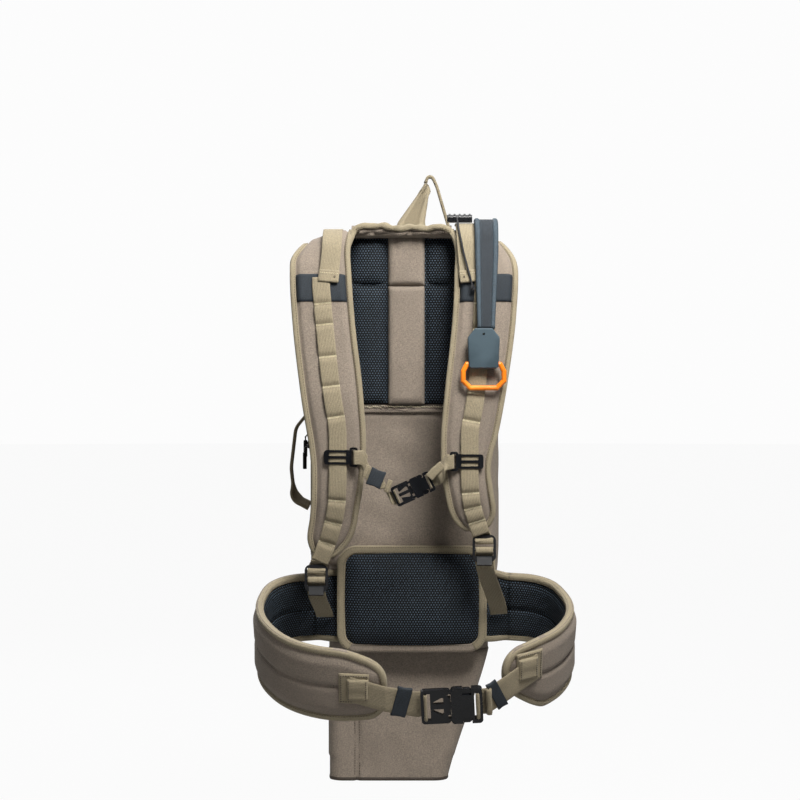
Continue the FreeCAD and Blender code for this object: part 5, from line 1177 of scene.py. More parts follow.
def retention_cord():
    """Thin cord from the guide down beside the sleeve: a NURBS line drawn by the route's points. Its knot is
    a trefoil, which goes in and out, and up and down, three times in two turns."""
    curve = bpy.data.curves.new("retention_cord_line", "CURVE")
    curve.dimensions, curve.resolution_u = "3D", 12
    spline = curve.splines.new("NURBS")
    spline.points.add(len(CORD_ROUTE) - 1)
    for point, place in zip(spline.points, row_frame(CORD_ROUTE)):
        point.co = (*place, 1.0)
    spline.order_u = 3
    spline.use_endpoint_u = True
    curve.bevel_depth, curve.bevel_resolution, curve.use_fill_caps = 0.0015, 3, True
    curve.materials.append(material_of("cord"))
    cord = shown("retention_cord_braid", curve)
    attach(cord, "harness")
    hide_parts("retention_cord")
    end = np.array(CORD_ROUTE[-1]) + (0.4, -0.4, -1.5)
    t = np.linspace(0, 2 * math.pi, 73)[:-1]
    reach = 1.9 + 0.9 * np.cos(3 * t)
    turns = np.stack([reach * np.cos(2 * t), reach * np.sin(2 * t), 2.0 * np.sin(3 * t)], 1)
    cut = Cut()
    cut.hoop(turns + end, (0.3, -1, 0.2), oval(2.4, 2.4, 8, 2.0))
    knot = cut.piece("retention_cord_knot", ["cord"], "harness")


# ---- sternum strap ----
# the chest buckle's middle, depth and turn, half the distance between its end bars, the middles of the two
# sliders' eye bars, and the depths of the webbing in front of and behind them
CHEST_CENTRE, CHEST_Y, CHEST_TURN = (9.5, -450.0), -105.8, math.radians(25.0)
CHEST_BAR = 27.4
EYES = {-1: (-69.6, -406.0), 1: (62.6, -412.0)}
CHEST_FRONT, EYE_REAR = -111.3, -96.3
SIDES = {-1: "left", 1: "right"}


def chest_point(along, up=0.0):
    """Place across and level of a point of the chest buckle, measured along it and up from its centre."""
    c, s = math.cos(CHEST_TURN), math.sin(CHEST_TURN)
    return CHEST_CENTRE[0] + along * c - up * s, CHEST_CENTRE[1] + along * s + up * c


def rolled(centre, axis, turns, radius, growth):
    """Spiral roll: the radius grows by a share with each turn, in the plane square to its axis."""
    axis = unit(axis)
    first = unit(np.cross(axis, np.cross((1, 0.4, 0), axis)))
    second = np.cross(axis, first)
    t = np.linspace(0, turns * 2 * math.pi, int(turns * 22))[:, None]
    reach = radius + growth * t / (2 * math.pi)
    return np.asarray(centre, float) + reach * (np.cos(t) * first + np.sin(t) * second)


def sternum_webbing(side):
    """Chest webbing: round the slider's eye bar, a slightly twisted front run, round the buckle's end bar,
    and a spare end, rolled on the left and hanging on the right."""
    bar, z = EYES[side]
    hold, start = bar + side * 3.4, bar - side * 9.0
    out = chest_point(side * (CHEST_BAR + 9))
    inner = chest_point(side * (CHEST_BAR - 3.4))
    reach = abs(out[0] - bar)
    run_z = lambda x: z + (out[1] - z) * ease(abs(x - bar), 6.0, reach)
    keys = [(start - side * 5, EYE_REAR - 0.9, run_z(start - side * 5) - 1.5), (start, EYE_REAR, z),
            (hold, EYE_REAR, z), (hold, CHEST_FRONT, z), (start, CHEST_FRONT, run_z(start))]
    if side < 0:
        keys += [(-53.5, CHEST_FRONT, -428.0), (-41.5, CHEST_FRONT, -437.0), (-29.5, CHEST_FRONT, -442.0)]
    else:
        for share in (0.35, 0.7):
            x = start + (out[0] - start) * share
            keys.append((x, CHEST_FRONT - 0.4, run_z(x) - 3.0 * math.sin(share * math.pi)))
    rear, slot = CHEST_Y + 5.4, chest_point(side * (CHEST_BAR - 1.6))
    keys += [(out[0], rear - 5, out[1]), (slot[0], rear, slot[1]), (slot[0], CHEST_FRONT + 1.2, slot[1]),
             (inner[0], CHEST_FRONT + 1.2, inner[1])]
    line = bent(keys, [2, 1.6, 1.6] + [6] * (len(keys) - 7) + [3, 2.2, 1.2], 1.1)
    # the tape stands upright at the eye and square to the buckle at its other end
    share = ease(abs(line[:, 0] - bar), 4, reach - 4)
    turn = CHEST_TURN * (share if side > 0 else np.interp(share, [0, 0.35, 0.8, 1], [0, -0.9, -0.9, 1.0]))
    lean = (0.9 if side > 0 else 0.0) * np.sin(share * math.pi)
    wide = unit(np.stack([-np.sin(turn), lean, np.cos(turn)], 1))
    normal = unit(np.cross(slopes(line), wide))
    flat = tape(20, 1.4, 9)
    points = line[:, None] + wide[:, None] * flat[None, :, 0:1] + normal[:, None] * flat[None, :, 1:2]
    cut = Cut()
    cut.tube(points, 0, flat[:, 0])
    if side < 0:
        for centre in ((-55.5, CHEST_FRONT - 2.6, -425.5), (-24.5, CHEST_FRONT - 2.6, -446.0)):
            axis = math.sin(0.36), 0, math.cos(0.36)
            cut.standing(rolled(centre, axis, 1.6, 1.3, 1.5), axis, tape(18.0, 1.2, 7))
    else:
        spare = bent([(start - 3, CHEST_FRONT - 1.8, z - 4), (start - 14, CHEST_FRONT - 2.6, z - 13),
                      (start - 22, CHEST_FRONT - 1.9, z - 22)], [14], 1.4)
        cut.standing(spare, (-math.sin(0.45), 0, math.cos(0.45)), tape(12, 1.4, 7))
    cut.piece("sternum_webbing_" + SIDES[side] + "_cloth", ["webbing"], "sternum_strap",
              "sternum_webbing_" + SIDES[side])


def keeper(line, up, profile, narrowing, place=np.asarray):
    """Elastic sleeve round a webbing: a superellipse carried along a line, its width swelling by a cosine."""
    squeeze = 1 - narrowing * np.cos(np.linspace(-1, 1, len(line)) * math.pi)
    cut = Cut()
    cut.tube(place(carried(line, up, np.stack([profile * (share, 1.0) for share in squeeze]))))
    return cut


def sternum_keeper():
    """Elastic keeper round the left chest webbing, with a seam along each edge."""
    low, high = node_box("sternum_keeper")
    direction = unit((0.93, 0, -0.37))
    line = (low + high) / 2 + direction * np.linspace(-10.5, 10.5, 12)[:, None]
    cut = keeper(line, OUT, oval(24.4, 5.4, 20, 5.0), 0.035)
    side = unit(np.cross(direction, OUT))
    for away in (-9, 9):
        cut.stitches(line + side * away + (0, -2.5, 0), OUT, 2.6, 1.9, 0.5, 0)
    cut.piece("sternum_keeper_band", ["elastic"], "sternum_strap", "sternum_keeper")


# ---- hip belt ----
# The belt's axis through the core, the angle at which it hangs and its height. For each wing: the corners of
# its plan and their radii, where its root ends, the levels of its tip's two edges, and its patch's two sides
# and level. Then the hip buckle's middle, turn, length and thickness, how far the binding's middle lies in
# from a wing's edge, the root's length, and how far the webbing stands off the wing's middle.
BELT_Y, BELT_LEVEL, BELT_TILT, WING_HEIGHT = 10.0, -625.0, math.radians(19.0), 105.0
WINGS = {
    "left": {
        "side": -1, "radii": [1.0, 60.0, 160.0, 122.0],
        "plan": [(-98.0, 10.0), (-112.0, 10.0), (-192.0, -4.0), (-212.0, -118.0), (-150.0, -232.0),
                 (-29.0, -245.0)],
        "root": -131.0, "tip": (-588.0, -672.0), "patch": (-89.0, -49.0, -625.0),
    },
    "right": {
        "side": 1, "radii": [1.0, 60.0, 130.0, 118.0],
        "plan": [(110.0, 10.0), (121.0, 10.0), (206.0, -2.0), (236.0, -104.0), (198.0, -194.0),
                 (131.0, -229.0)],
        "root": 148.0, "tip": (-580.0, -646.0), "patch": (143.0, 177.0, -607.0),
    },
}
HIP_CENTRE, HIP_TURN, HIP_LENGTH, HIP_THICK = (60.0, -258.0, -645.0), math.radians(3.0), 82.0, 12.4
HIP_AXIS = (-math.sin(HIP_TURN), 0, math.cos(HIP_TURN))
EDGE_INSET, ROOT_LENGTH, WEB_STAND = 4.6, 31, 11.8


def tilted(points, share=1.0):
    """The belt's place: turned about its axis through the core by a share of the angle at which it hangs."""
    points = np.array(points, float)
    y, z = points[..., 1] - BELT_Y, points[..., 2] - BELT_LEVEL
    cosine, sine = np.cos(BELT_TILT * share), np.sin(BELT_TILT * share)
    points[..., 1], points[..., 2] = BELT_Y + y * cosine - z * sine, BELT_LEVEL + y * sine + z * cosine
    return points


def wing_plan(wing, step=5.0, root=False):
    """Plan line of a wing's middle, or of its root's, and its outward normal: straight runs with arcs."""
    line = bent(wing["plan"], wing["radii"], 1.0)
    first = np.flatnonzero(line[:, 0] * wing["side"] >= abs(wing["root"]))[0]
    line = even(line[:first + 4] if root else line[first:], step)
    along = slopes(np.hstack([line, line[:, :1] * 0]))
    normal = np.stack([along[:, 1], -along[:, 0]], 1) * -wing["side"]
    return line, normal


def wing_levels(wing, left_to_tip):
    """Upper and lower edge at distances before the tip: the taper, then the round corners."""
    top, low = wing["tip"]
    half = WING_HEIGHT / 2
    share = ease(left_to_tip, 0, 66)
    drop = 24 - np.sqrt(np.clip(24 ** 2 - np.clip(24 - left_to_tip, 0, 24) ** 2, 0, None))
    upper = top + (BELT_LEVEL + half - top) * share - drop
    lower = low + (BELT_LEVEL - half - low) * share + drop
    return upper, lower


def hip_wing(name, root=False):
    """Padded wing: a wall round the waist, crowned on both faces, each with a sewn channel at mid height. Its
    root is a second such wall, which turns from the upright core to the wing's own tilt and is given no
    body."""
    wing = WINGS[name]
    line, normal = wing_plan(wing, 3.0 if root else 5.0, root)
    run = run_of(line)
    to_tip = run[-1] - run + (200 if root else 0)
    far = abs(wing["root"])
    lean = ease(line[:, 0] * wing["side"], far - ROOT_LENGTH, far)[:, None] if root else 1.0
    upper, lower = wing_levels(wing, to_tip)
    middle, half = ((upper + lower) / 2)[:, None], ((upper - lower) / 2)[:, None]
    share = np.sin(np.linspace(-1, 1, 33) * math.pi / 2) * 0.5 + np.linspace(-1, 1, 33) * 0.5
    z = middle + half * share
    border = np.minimum((1 - abs(share))[None] * half, to_tip[:, None] + 3)
    channel = np.exp(-((z - middle) / 3.0) ** 2) * ease(to_tip, 8, 40)[:, None]
    bulge = 3.4 + 5.4 * ease(border, 5, 22)
    outer = bulge - channel * 3.4
    if not root:
        outer += ripple(run[:, None], z, 0.8, 90, 41) * ease(border, 6, 25) * ease(run, 0, 20)[:, None]
    inner = bulge * 0.95 - channel * 3.8
    flat = np.concatenate([line[:, None] + 0 * z[..., None], z[..., None]], 2)
    away = np.concatenate([normal[:, None] + 0 * z[..., None], 0 * z[..., None]], 2)
    front, back = tilted(flat + away * outer[..., None], lean), tilted(flat - away * inner[..., None], lean)
    cut = Cut()
    cut.sheet(front, back, 1, z[0] - z[0, 0])
    edging = oval(9.6, 11.4, 16, 3.0)
    if root:
        made = cut.piece("hip_root_" + name, ["fabric", "lining"], None)
        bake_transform(made)
        cut = Cut()
        for level in (upper - EDGE_INSET, lower + EDGE_INSET):
            edge = np.concatenate([line, level[:, None]], 1)
            cut.tube(tilted(carried(edge, OUT, edging), lean))
        made = cut.piece("hip_root_binding_" + name, ["binding"], None)
        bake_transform(made)
        return
    seam = np.concatenate([line, middle], 1)
    keep = run < run[-1] - 12
    for shift in (-1.6, 1.6):
        row = seam[keep] + (0, 0, shift) + np.concatenate([normal, 0 * middle], 1)[keep] * 6.1
        cut.stitches(tilted(row), tilted_way(normal[keep]), pitch(), 2.6, 0.6, 2)
    made = cut.piece("hip_wing_" + name + "_body", ["fabric", "lining", "dark_thread"], "hip_belt",
                     "hip_wing_" + name)
    # binding all round the edge: the normal travels with the line, too short to count in its length
    short = normal * 1e-3
    top = np.concatenate([line, (upper - EDGE_INSET)[:, None], short], 1)
    low = np.concatenate([line, (lower + EDGE_INSET)[:, None], short], 1)
    tip_z = np.linspace(upper[-1] - EDGE_INSET, lower[-1] + EDGE_INSET, 6)[1:-1, None]
    tip_line = np.repeat(line[-1:], 4, 0) - slopes(line)[-1] * 2.0
    tip = np.concatenate([tip_line, tip_z, np.repeat(short[-1:], 4, 0)], 1)
    path = relax(even(np.vstack([top, tip, low[::-1]]), 4.0), 6)
    edge, up = tilted(path[:, :3]), tilted_way(path[:, 3:])
    cut = Cut()
    cut.tube(carried(edge, up, edging))
    inward = unit(np.cross(slopes(edge), up))
    centre = tilted(seam).mean(0)
    sign = 1.0 if np.median(np.sign((inward * (centre - edge)).sum(1))) > 0 else -1.0
    for face in (1, -1):
        cut.stitches(edge + inward * sign * 2.4 + up * face * 5.5, up * face, pitch(), 2.5, 1.0)
    cut.piece("hip_wing_" + name + "_binding", ["binding", "seam_thread"], "hip_belt")


def tilted_way(plan):
    """A direction of the belt's plan, turned with the belt."""
    pivot = np.array((0, BELT_Y, BELT_LEVEL))
    return unit(tilted(np.pad(plan[:, :2], ((0, 0), (0, 1))) + pivot) - pivot)


def wing_face(wing, x, level, rise):
    """Points on the last run of a wing, at places along x and levels, rise in front of its outer face."""
    line, normal = wing_plan(wing, 1.0)
    order = np.argsort(line[-170:, 0])
    tail, out = line[-170:][order], normal[-170:][order]
    y, nx, ny = (np.interp(x, tail[:, 0], column) for column in (tail[:, 1], out[:, 0], out[:, 1]))
    return tilted(np.stack([x + nx * rise, y + ny * rise, level + 0 * x], -1))


def web_plan(wing):
    """Plan and heights of the hip webbing: along the wing's last run, then straight to the buckle. Returns
    the two ends of its run on the wing, its end at the buckle, and its height as a function of x."""
    side = wing["side"]
    plan = np.array(wing["plan"])
    run = unit(plan[-1] - plan[-2])
    out = np.array((-run[1], run[0])) * side
    out = out if out[1] < 0 else -out
    back, tip = plan[-1] - run * 44 + out * WEB_STAND, plan[-1] + run * 2 + out * WEB_STAND
    reach = side * (HIP_LENGTH / 2 + 6)
    end = np.array((HIP_CENTRE[0] + reach * math.cos(HIP_TURN), HIP_CENTRE[1] + HIP_THICK / 2 + 1.3))
    start_z, end_z = wing["patch"][2], HIP_CENTRE[2] + reach * math.sin(HIP_TURN)
    return back, tip, end, lambda x: start_z + (end_z - start_z) * (x - back[0]) / (end[0] - back[0])


def hip_patch(name):
    """Box-stitched patch on the wing's tip with the folded end of the webbing on top: two flat rectangles
    whose faces rise from their edges along quarter circles."""
    wing = WINGS[name]
    x0, x1, level = wing["patch"]
    c0, c1 = (x0 + 11, x1 - 1) if wing["side"] < 0 else (x0 + 1, x1 - 8)
    cut = Cut()
    for a0, a1, half, columns, rows, rise, soft, under, fold in (
            (x0, x1, 22, 19, 21, (9.2, 1.5), 1.5, 7.0, 0.0),
            (c0, c1, 15, 13, 15, (13.0, 2.2), 1.8, 9.8, 0.3)):
        u, v = np.meshgrid(np.linspace(a0, a1, columns), np.linspace(-half, half, rows), indexing="ij")
        border = np.minimum(np.minimum(u - a0, a1 - u), half - abs(v))
        lift = rise[0] + rise[1] * crown(border, soft) + fold * np.sin(v / 3)
        cut.sheet(wing_face(wing, u, level + v, lift), wing_face(wing, u, level + v, under + 0 * u))
    up = tilted_way(np.array([(0.0, -1.0)]))[0]
    box = [(x0 + 3, -19.0), (x1 - 3, -19.0), (x1 - 3, 19.0), (x0 + 3, 19.0), (x0 + 3, -19.0)]
    line = even(box, 1.5)
    cut.stitches(wing_face(wing, line[:, 0], level + line[:, 1], 10.8), up, 3.4, 2.2, 1.7, 3)
    for across in (c0 + 2.4, c1 - 2.4):
        line = even([(across, -12.5), (across, 12.5)], 1.5)
        cut.stitches(wing_face(wing, line[:, 0], level + line[:, 1], 15.2), up, 3.2, 2.2, 1.4, 3)
    return cut


def hip_webbing(name):
    """Hip webbing: from the patch along the wing's tip, free to the buckle, round its end bar and back."""
    side = WINGS[name]["side"]
    back, tip, _, z_at = web_plan(WINGS[name])
    bar = side * (HIP_LENGTH / 2 - 2.3)
    rear, front = HIP_CENTRE[1] + HIP_THICK / 2 + 1.3, HIP_CENTRE[1] - HIP_THICK / 2 - 0.6

    def place(along, y):
        """A point of the buckle, at a distance along it and a depth."""
        return HIP_CENTRE[0] + along * math.cos(HIP_TURN), y, HIP_CENTRE[2] + along * math.sin(HIP_TURN)

    loop_in, slot = bar - side * 5.4, bar - side * 2.4
    keys = [(*back, z_at(back[0])), (*tip, z_at(tip[0])), place(bar + side * 9, rear), place(loop_in, rear),
            place(loop_in, front), place(slot, front), place(slot, rear - 3)]
    line = bent(keys, [12, 8, 1.9, 1.4, 1.4], 1.0)
    tangent = slopes(line)
    wide = unit(np.array(HIP_AXIS) + 0 * tangent)
    normal = unit(np.cross(tangent, wide))
    flat = tape(37.6, 1.9, 11)
    run = run_of(line)
    bow = 0.48 * (np.sin(run / 14.0) * ease(run, 44, 60))[:, None] * (1 - (2 * flat[:, 0] / 38) ** 2)[None]
    lift = (flat[None, :, 1] + bow)[..., None]
    points = line[:, None] + wide[:, None] * flat[None, :, 0:1] + normal[:, None] * lift
    cut = hip_patch(name)
    cut.tube(tilted(points), 0, flat[:, 0])
    patches = ["hip_patches"] if side < 0 else []
    cut.piece("hip_webbing_" + name + "_cloth", ["webbing", "thread", "seam_thread", "dark_thread"],
              "hip_belt", "hip_webbing_" + name, *patches)


def hip_keepers():
    """Dark keepers round the free webbing on both sides, and the rolled spare end on the right."""
    for name, wing in WINGS.items():
        _, tip, end, z_at = web_plan(wing)
        free = end - tip
        run = unit(free)
        middle = tip + free * 0.52
        half = min(22.0, np.linalg.norm(free) * 0.46) / 2
        plan = middle + run * np.linspace(-half, half, 12)[:, None]
        line = np.column_stack([plan, z_at(plan[:, 0])])
        out = np.array((-run[1], run[0], 0.0))
        out = out if out[1] < 0 else -out
        cut = keeper(line, out, oval(42.4, 6.0, 22, 6.0), 0.02, tilted)
        nodes = ["hip_keepers"] if wing["side"] < 0 else []
        cut.piece("hip_keeper_" + name, ["elastic"], "hip_belt", *nodes)
    _, tip, end, z_at = web_plan(WINGS["right"])
    x, y = tip + (end - tip) * 0.90
    roll = rolled((x, y - 4.4, z_at(x)), HIP_AXIS, 1.8, 1.6, 1.7)
    cut = Cut()
    cut.standing(roll, HIP_AXIS, tape(37, 1.6, 9), tilted)
    cut.piece("hip_webbing_roll", ["webbing"], "hip_belt")


# ---- bag, pocket, sleeve, boot ----
def soft_box(cut, low, high, radius, ends, count):
    """Rounded box as rings up its height; near each end the rings draw in along a quarter circle."""
    t = np.linspace(0, math.pi / 2, 6)
    inset = np.concatenate([ends * (1 - np.sin(t)), [0.0], ends * (1 - np.sin(t[::-1]))])
    base, top = low[2] + ends * (1 - np.cos(t)), high[2] - ends * (1 - np.cos(t[::-1]))
    levels = np.concatenate([base, [(low[2] + high[2]) / 2], top])
    rings = []
    for z, gap in zip(levels, inset):
        corner = max(radius - gap * 0.6, 3.0)
        flat = ring(low[0] + gap, high[0] - gap, low[1] + gap, high[1] - gap, corner, count)
        rings.append(lift_plane(flat, (0, 1), z))
    cut.tube(np.array(rings))


def laid(piece, loop, rise):
    """A closed loop moved in its own plane, across its own run, to a piece's surface and rise out of it."""
    tree = BVHTree.FromObject(piece, bpy.context.evaluated_depsgraph_get())
    way = np.roll(loop, -1, 0) - np.roll(loop, 1, 0)
    out = unit(np.cross(way, REARWARD))
    out = out * np.sign(((loop - loop.mean(0)) * out).sum())
    reach = 30.0
    starts = row_frame(loop + out * reach)
    found = [tree.ray_cast(start, turn)[3] for start, turn in zip(starts, -out)]
    move = np.array([reach if gap is None or gap > 0.05 else gap * METRE for gap in found])
    move = sum(np.roll(move, k) for k in range(-3, 4)) / 7
    return loop + out * (reach + rise - move)[:, None]


def seam_loop(low, high, inset, radius, count, y):
    """Closed rounded rectangle inside a box's border, at one depth."""
    rim = ring(low[0] + inset, high[0] - inset, low[2] + inset, high[2] - inset, radius, count)
    return lift_plane(rim, (0, 2), y)


# how far the lid line and the pocket's zip lie under their box's top; level of the boot's fold and place of
# its front seam; depths of the side zips and of the side handle
LID_DROP, ZIP_DROP = 92, 38
BOOT_FOLD, BOOT_SEAM = -690.15, -71
ZIPS, HANDLE_Y = (142.0, 162.0), 118.0


def bag():
    """Main bag: a swollen shell that bulges between its seams, with a lid line and piping on both seams."""
    low, high = node_box("main_bag")
    lid = high[2] - LID_DROP
    cut = Cut()
    soft_box(cut, low + (2.5, 0.2, 2.5), high - 2.5, 17.0, 14.0, 72)
    made = cut.piece("main_bag_cloth", ["fabric"], "pack", "main_bag")
    seam = lambda p: (p[:, 1] < low[1] + 7) | (abs(p[:, 2] - lid) < 3) & (p[:, 1] > high[1] - 12)
    puffed(made, 6.0, 7.0, seam, (low, high))

    def fold(p):
        """Waves in the back and the side, and a groove along the lid line."""
        back = ease(p[:, 1], high[1] - 40, high[1] - 8)
        side = ease(abs(p[:, 0] - (low[0] + high[0]) / 2), 110, 138)
        wave = ripple(p[:, 0], p[:, 2], 2.2, 150, 51) * back + ripple(p[:, 1], p[:, 2], 1.3, 90, 52) * side
        p[:, 1] -= np.maximum(wave * back, 0)
        p[:, 0] -= np.maximum(wave * side, 0) * (p[:, 0] > 0)
        p[:, 1] -= 2.2 * np.exp(-((p[:, 2] - lid) / 2.6) ** 2) * back
        return p

    pressed(made, fold)
    subdivided(made)
    cut = Cut()
    for y, inset in ((low[1] + 6.0, 2.6), (high[1] - 12.0, 2.0)):
        loop = laid(made, seam_loop(low, high, inset, 15.0, 240, y), 0.5)
        cut.hoop(loop, REARWARD, oval(3.4, 3.4, 10, 2.0))
    cut.piece("main_bag_piping", ["binding"], "pack")


def front_pocket():
    """Pocket on the bag's outer face: a swollen pad with a zip line, and piping round its seam."""
    low, high = node_box("front_pocket")
    cut = Cut()
    box = (low[0] + 3, -high[1] + 4, low[2] + 3), (high[0] - 3, -low[1], high[2] - 3)
    pad(cut, box, corner=14.0, rounding=26.0, step=6.0, edge=0.3, wave=0.3, seed=61)
    cut.points = [p * (1, -1, 1) for p in cut.points]
    cut.quads = [q[:, ::-1] for q in cut.quads]
    made = cut.piece("front_pocket_cloth", ["fabric"], "pack", "front_pocket")
    puffed(made, 6.0, 7.0, lambda p: p[:, 1] < low[1] + 4, (low, high))

    def zip_line(p):
        """A groove along the zip and soft waves, both on the pocket's face only."""
        out = ease(p[:, 1], low[1] + 8, low[1] + 16)
        p[:, 1] -= out * 1.8 * np.exp(-((p[:, 2] - (high[2] - ZIP_DROP)) / 3.0) ** 2)
        p[:, 1] -= out * np.maximum(ripple(p[:, 0], p[:, 2], 1.6, 110, 62), 0)
        return p

    pressed(made, zip_line)
    subdivided(made)
    cut = Cut()
    cut.hoop(seam_loop(low, high, 2, 14.0, 160, low[1] + 2.0), REARWARD, oval(3.6, 3.6, 10, 2.0))
    cut.piece("front_pocket_piping", ["binding"], "pack")


def sleeve():
    """Long sleeve for the rifle: an open shell between the panel and the bag, its rim turned in at the top
    and its outer wall drawn in by a slow sine of its level."""
    low, high = node_box("rifle_sleeve")
    levels = np.linspace(low[2], high[2], 60)
    rings = []
    for wall, order in ((0.4, levels), (5.0, levels[::-1])):
        for z in order:
            flat = ring(low[0] + wall, high[0] - wall, low[1] + wall, high[1] - wall, 22.0 - wall * 0.8, 64)
            draw = (0.5 + 0.5 * math.sin(z / 23.0 + 1)) * (wall < 1)
            rings.append(lift_plane(flat - unit(flat - flat.mean(0)) * draw, (0, 1), z))
    cut = Cut()
    cut.tube(np.array(rings))
    rim = rings[len(levels) - 1] + (0, 0, -1.6)
    rim[:, :2] = rim[:, :2] * 0.985 + rim[:, :2].mean(0) * 0.015
    cut.hoop(rim, (0, 0, 1), oval(3.0, 7.0, 10, 2.4), 1)
    cut.piece("rifle_sleeve_cloth", ["fabric", "binding"], "pack", "rifle_sleeve")


def boot():
    """Fold-down boot: a tapering shell with a sewn seam down its front, a dark bound hem and small corner
    steps, and the hinge strip behind its fold, which is given no body."""
    low, high = node_box("rifle_boot")
    levels = np.concatenate([np.linspace(low[2], low[2] + 12, 7), np.linspace(low[2] + 16, high[2], 44)])

    def wall(inset, z, outer):
        """One ring of the boot at a level, drawn in by its inset."""
        toe = ease(-z, -high[2], -low[2]) * 0.25 + 0.75 * np.clip((high[2] - z) / (high[2] - low[2]), 0, 1)
        right = high[0] - (high[0] - 62.0) * toe
        step = 1.8 * (z < low[2] + 34) * outer
        flat = ring(low[0] + inset + step, right - inset - step * 0.4, low[1] + inset, high[1] - inset,
                    max(21.0 - inset, 8), 96)
        if outer:
            x, front = flat[:, 0], flat[:, 1] < low[1] + 20
            wave = ripple(x, np.full(96, z), 1.5, 120, 71) + 0.5 * np.sin(x / 8 + z / 30) * ease(-z, 690, 712)
            flat[:, 1] += front * np.maximum(wave + 0.5, 0) * ease(z, low[2], low[2] + 20)
            flat[:, 1] += front * 4.6 * np.exp(-((x - BOOT_SEAM) / 2.4) ** 2)
        return lift_plane(flat, (0, 1), z)

    rings = [wall(0.3, z, 1) for z in levels] + [wall(5.0, z, 0) for z in levels[::-1] if z > low[2] + 5]
    cut = Cut()
    cut.tube(np.array(rings))
    cut.hoop(wall(0.6, low[2] + 3.0, 1), (0, 0, 1), oval(2.0, 4.4, 10, 3.0), 1)
    seam_z = np.linspace(high[2] - 4, low[2] + 10, 60)
    fronts = [wall(0.3, z, 1)[:48] for z in seam_z]
    for x in (BOOT_SEAM - 3.6, BOOT_SEAM + 3.4):
        y = np.array([front[np.argmin(abs(front[:, 0] - x)), 1] for front in fronts]) - 0.25
        cut.stitches(np.stack([0 * seam_z + x, y, seam_z], 1), OUT, pitch(), 2.6, 1.2, 2)
    cut.stitches(wall(0.3, high[2] - 3.0, 1)[2:46] + (0, -0.35, 0), OUT, pitch(), 2.7, 0.8, 3)
    cut.piece("rifle_boot_cloth", ["fabric", "dark_thread", "dark_thread", "seam_thread"], "boot",
              "rifle_boot")
    cut = Cut()
    line = even([(low[0] + 24, high[1] + 0.3, BOOT_FOLD), (high[0] - 24, high[1] + 0.3, BOOT_FOLD)], 6)
    cut.tube(carried(line, REARWARD, tape(20.0, 1.0, 15)))
    for away in (-8, 8):
        cut.stitches(line + (0, 0.5, away), REARWARD, pitch(), 2.7, 0.8)
    made = cut.piece("boot_hinge_cloth", ["fabric", "dark_thread"], None)
    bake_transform(made)


def zips_and_handle():
    """Two coil zips down the left side, each a tape with its coil, and the side handle's webbing loop."""
    low, high = node_box("side_zips")
    cut = Cut()
    outside = (-1, 0, 0)
    for y in ZIPS:
        line = even([(low[0] + 1.0, y, high[2]), (low[0] + 1.0, y, low[2])], 6)
        cut.lying(line, outside, tape(8.8, 0.9, 7), 1)
        teeth = even([(low[0] + 0.75, y, high[2] - 2), (low[0] + 0.75, y, low[2] + 2)], 2)
        cut.tube(carried(teeth, outside, oval(3.4, 1.5, 8, 2.2)))
        for away in (-3.6, 3.6):
            cut.stitches(line + (-0.45, away, 0), outside, pitch(), 2.5, 0.5, 2)
    cut.piece("side_zip_coils", ["zip", "elastic", "dark_thread"], "pack", "side_zips")
    line = bent([(-144.8, -342.0), (-166.0, -368.0), (-173.0, -428.0), (-168.0, -474.0), (-144.8, -486.0)],
                [26.0, 60.0, 22.0], 2.5)
    line = lift_plane(line, (0, 2), HANDLE_Y)
    turn = 0.75 * ease(-line[:, 2], 448, 486)[:, None]
    cut = Cut()
    cut.standing(line, np.hstack([np.sin(turn), np.cos(turn), 0 * turn]), tape(27, 4.2, 9))
    for k in (3, -4):
        row = line[k] + np.stack([np.full(9, -1.5), np.linspace(-11, 11, 9), np.zeros(9)], 1)
        cut.stitches(row, outside, 2.6, 2.2, 0.8)
    cut.piece("side_handle_cloth", ["webbing", "thread"], "pack", "side_handle")


CAD_FINISHES = {
    "matt": ["adjuster_left", "adjuster_right"],
    "plastic": ["sternum_slider_left", "sternum_slider_right", "cord_guide", "zip_pull_front",
                "zip_pull_rear"] + [belt + "_buckle_" + part for belt in ("sternum", "hip")
                                    for part in ("male", "female", "arm_upper", "arm_lower")],
    # the retainer end's moulding carries painted sheen in its lightened colour
    "moulded": ["hook_housing"],
    "ring": ["pull_ring"], "slider": ["zip_slider_front", "zip_slider_rear"], "stays": ["frame_stays"],
    "magnet": ["hook_magnet"], "sheet": ["frame_sheet"],
}


def mouldings():
    """The frame's own rigid nodes keep their shape and take a worked finish."""
    for name, nodes in CAD_FINISHES.items():
        for node in nodes:
            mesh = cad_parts[node].data
            mesh.materials.clear()
            mesh.materials.append(material_of(name))


# ---- stage ----
# Each lamp's name, place, size, power in watts and tint, and the point that all of them face. The camera's
# place, lens and film; the floor; the sky's strength, and what the camera sees of sky and floor.
LAMPS = (
    ("key", (0.42, -1.05, 0.85), 0.7, 54.0, (1.0, 0.985, 0.955)),
    ("fill", (-1.9, -2.2, 0.1), 1.6, 4.0, (0.96, 0.98, 1.0)),
    ("top", (0.0, 0.5, 1.7), 1.3, 27.0, (1.0, 1.0, 1.0)),
    ("rear", (-1.1, 2.3, 0.9), 1.3, 40.0, (1.0, 1.0, 1.0)),
)
LIT = (-0.02, 0.0, -0.42)
CAMERA, LENS, FILM = (-0.0427, -2.8218, -0.326), 86.9, 36.0
FLOOR_LEVEL, FLOOR_RADIUS, FLOOR_SIDES = -1.06, 30, 96
SKY, WHITE, FLOOR_WHITE = 0.14, 0.975, 0.95


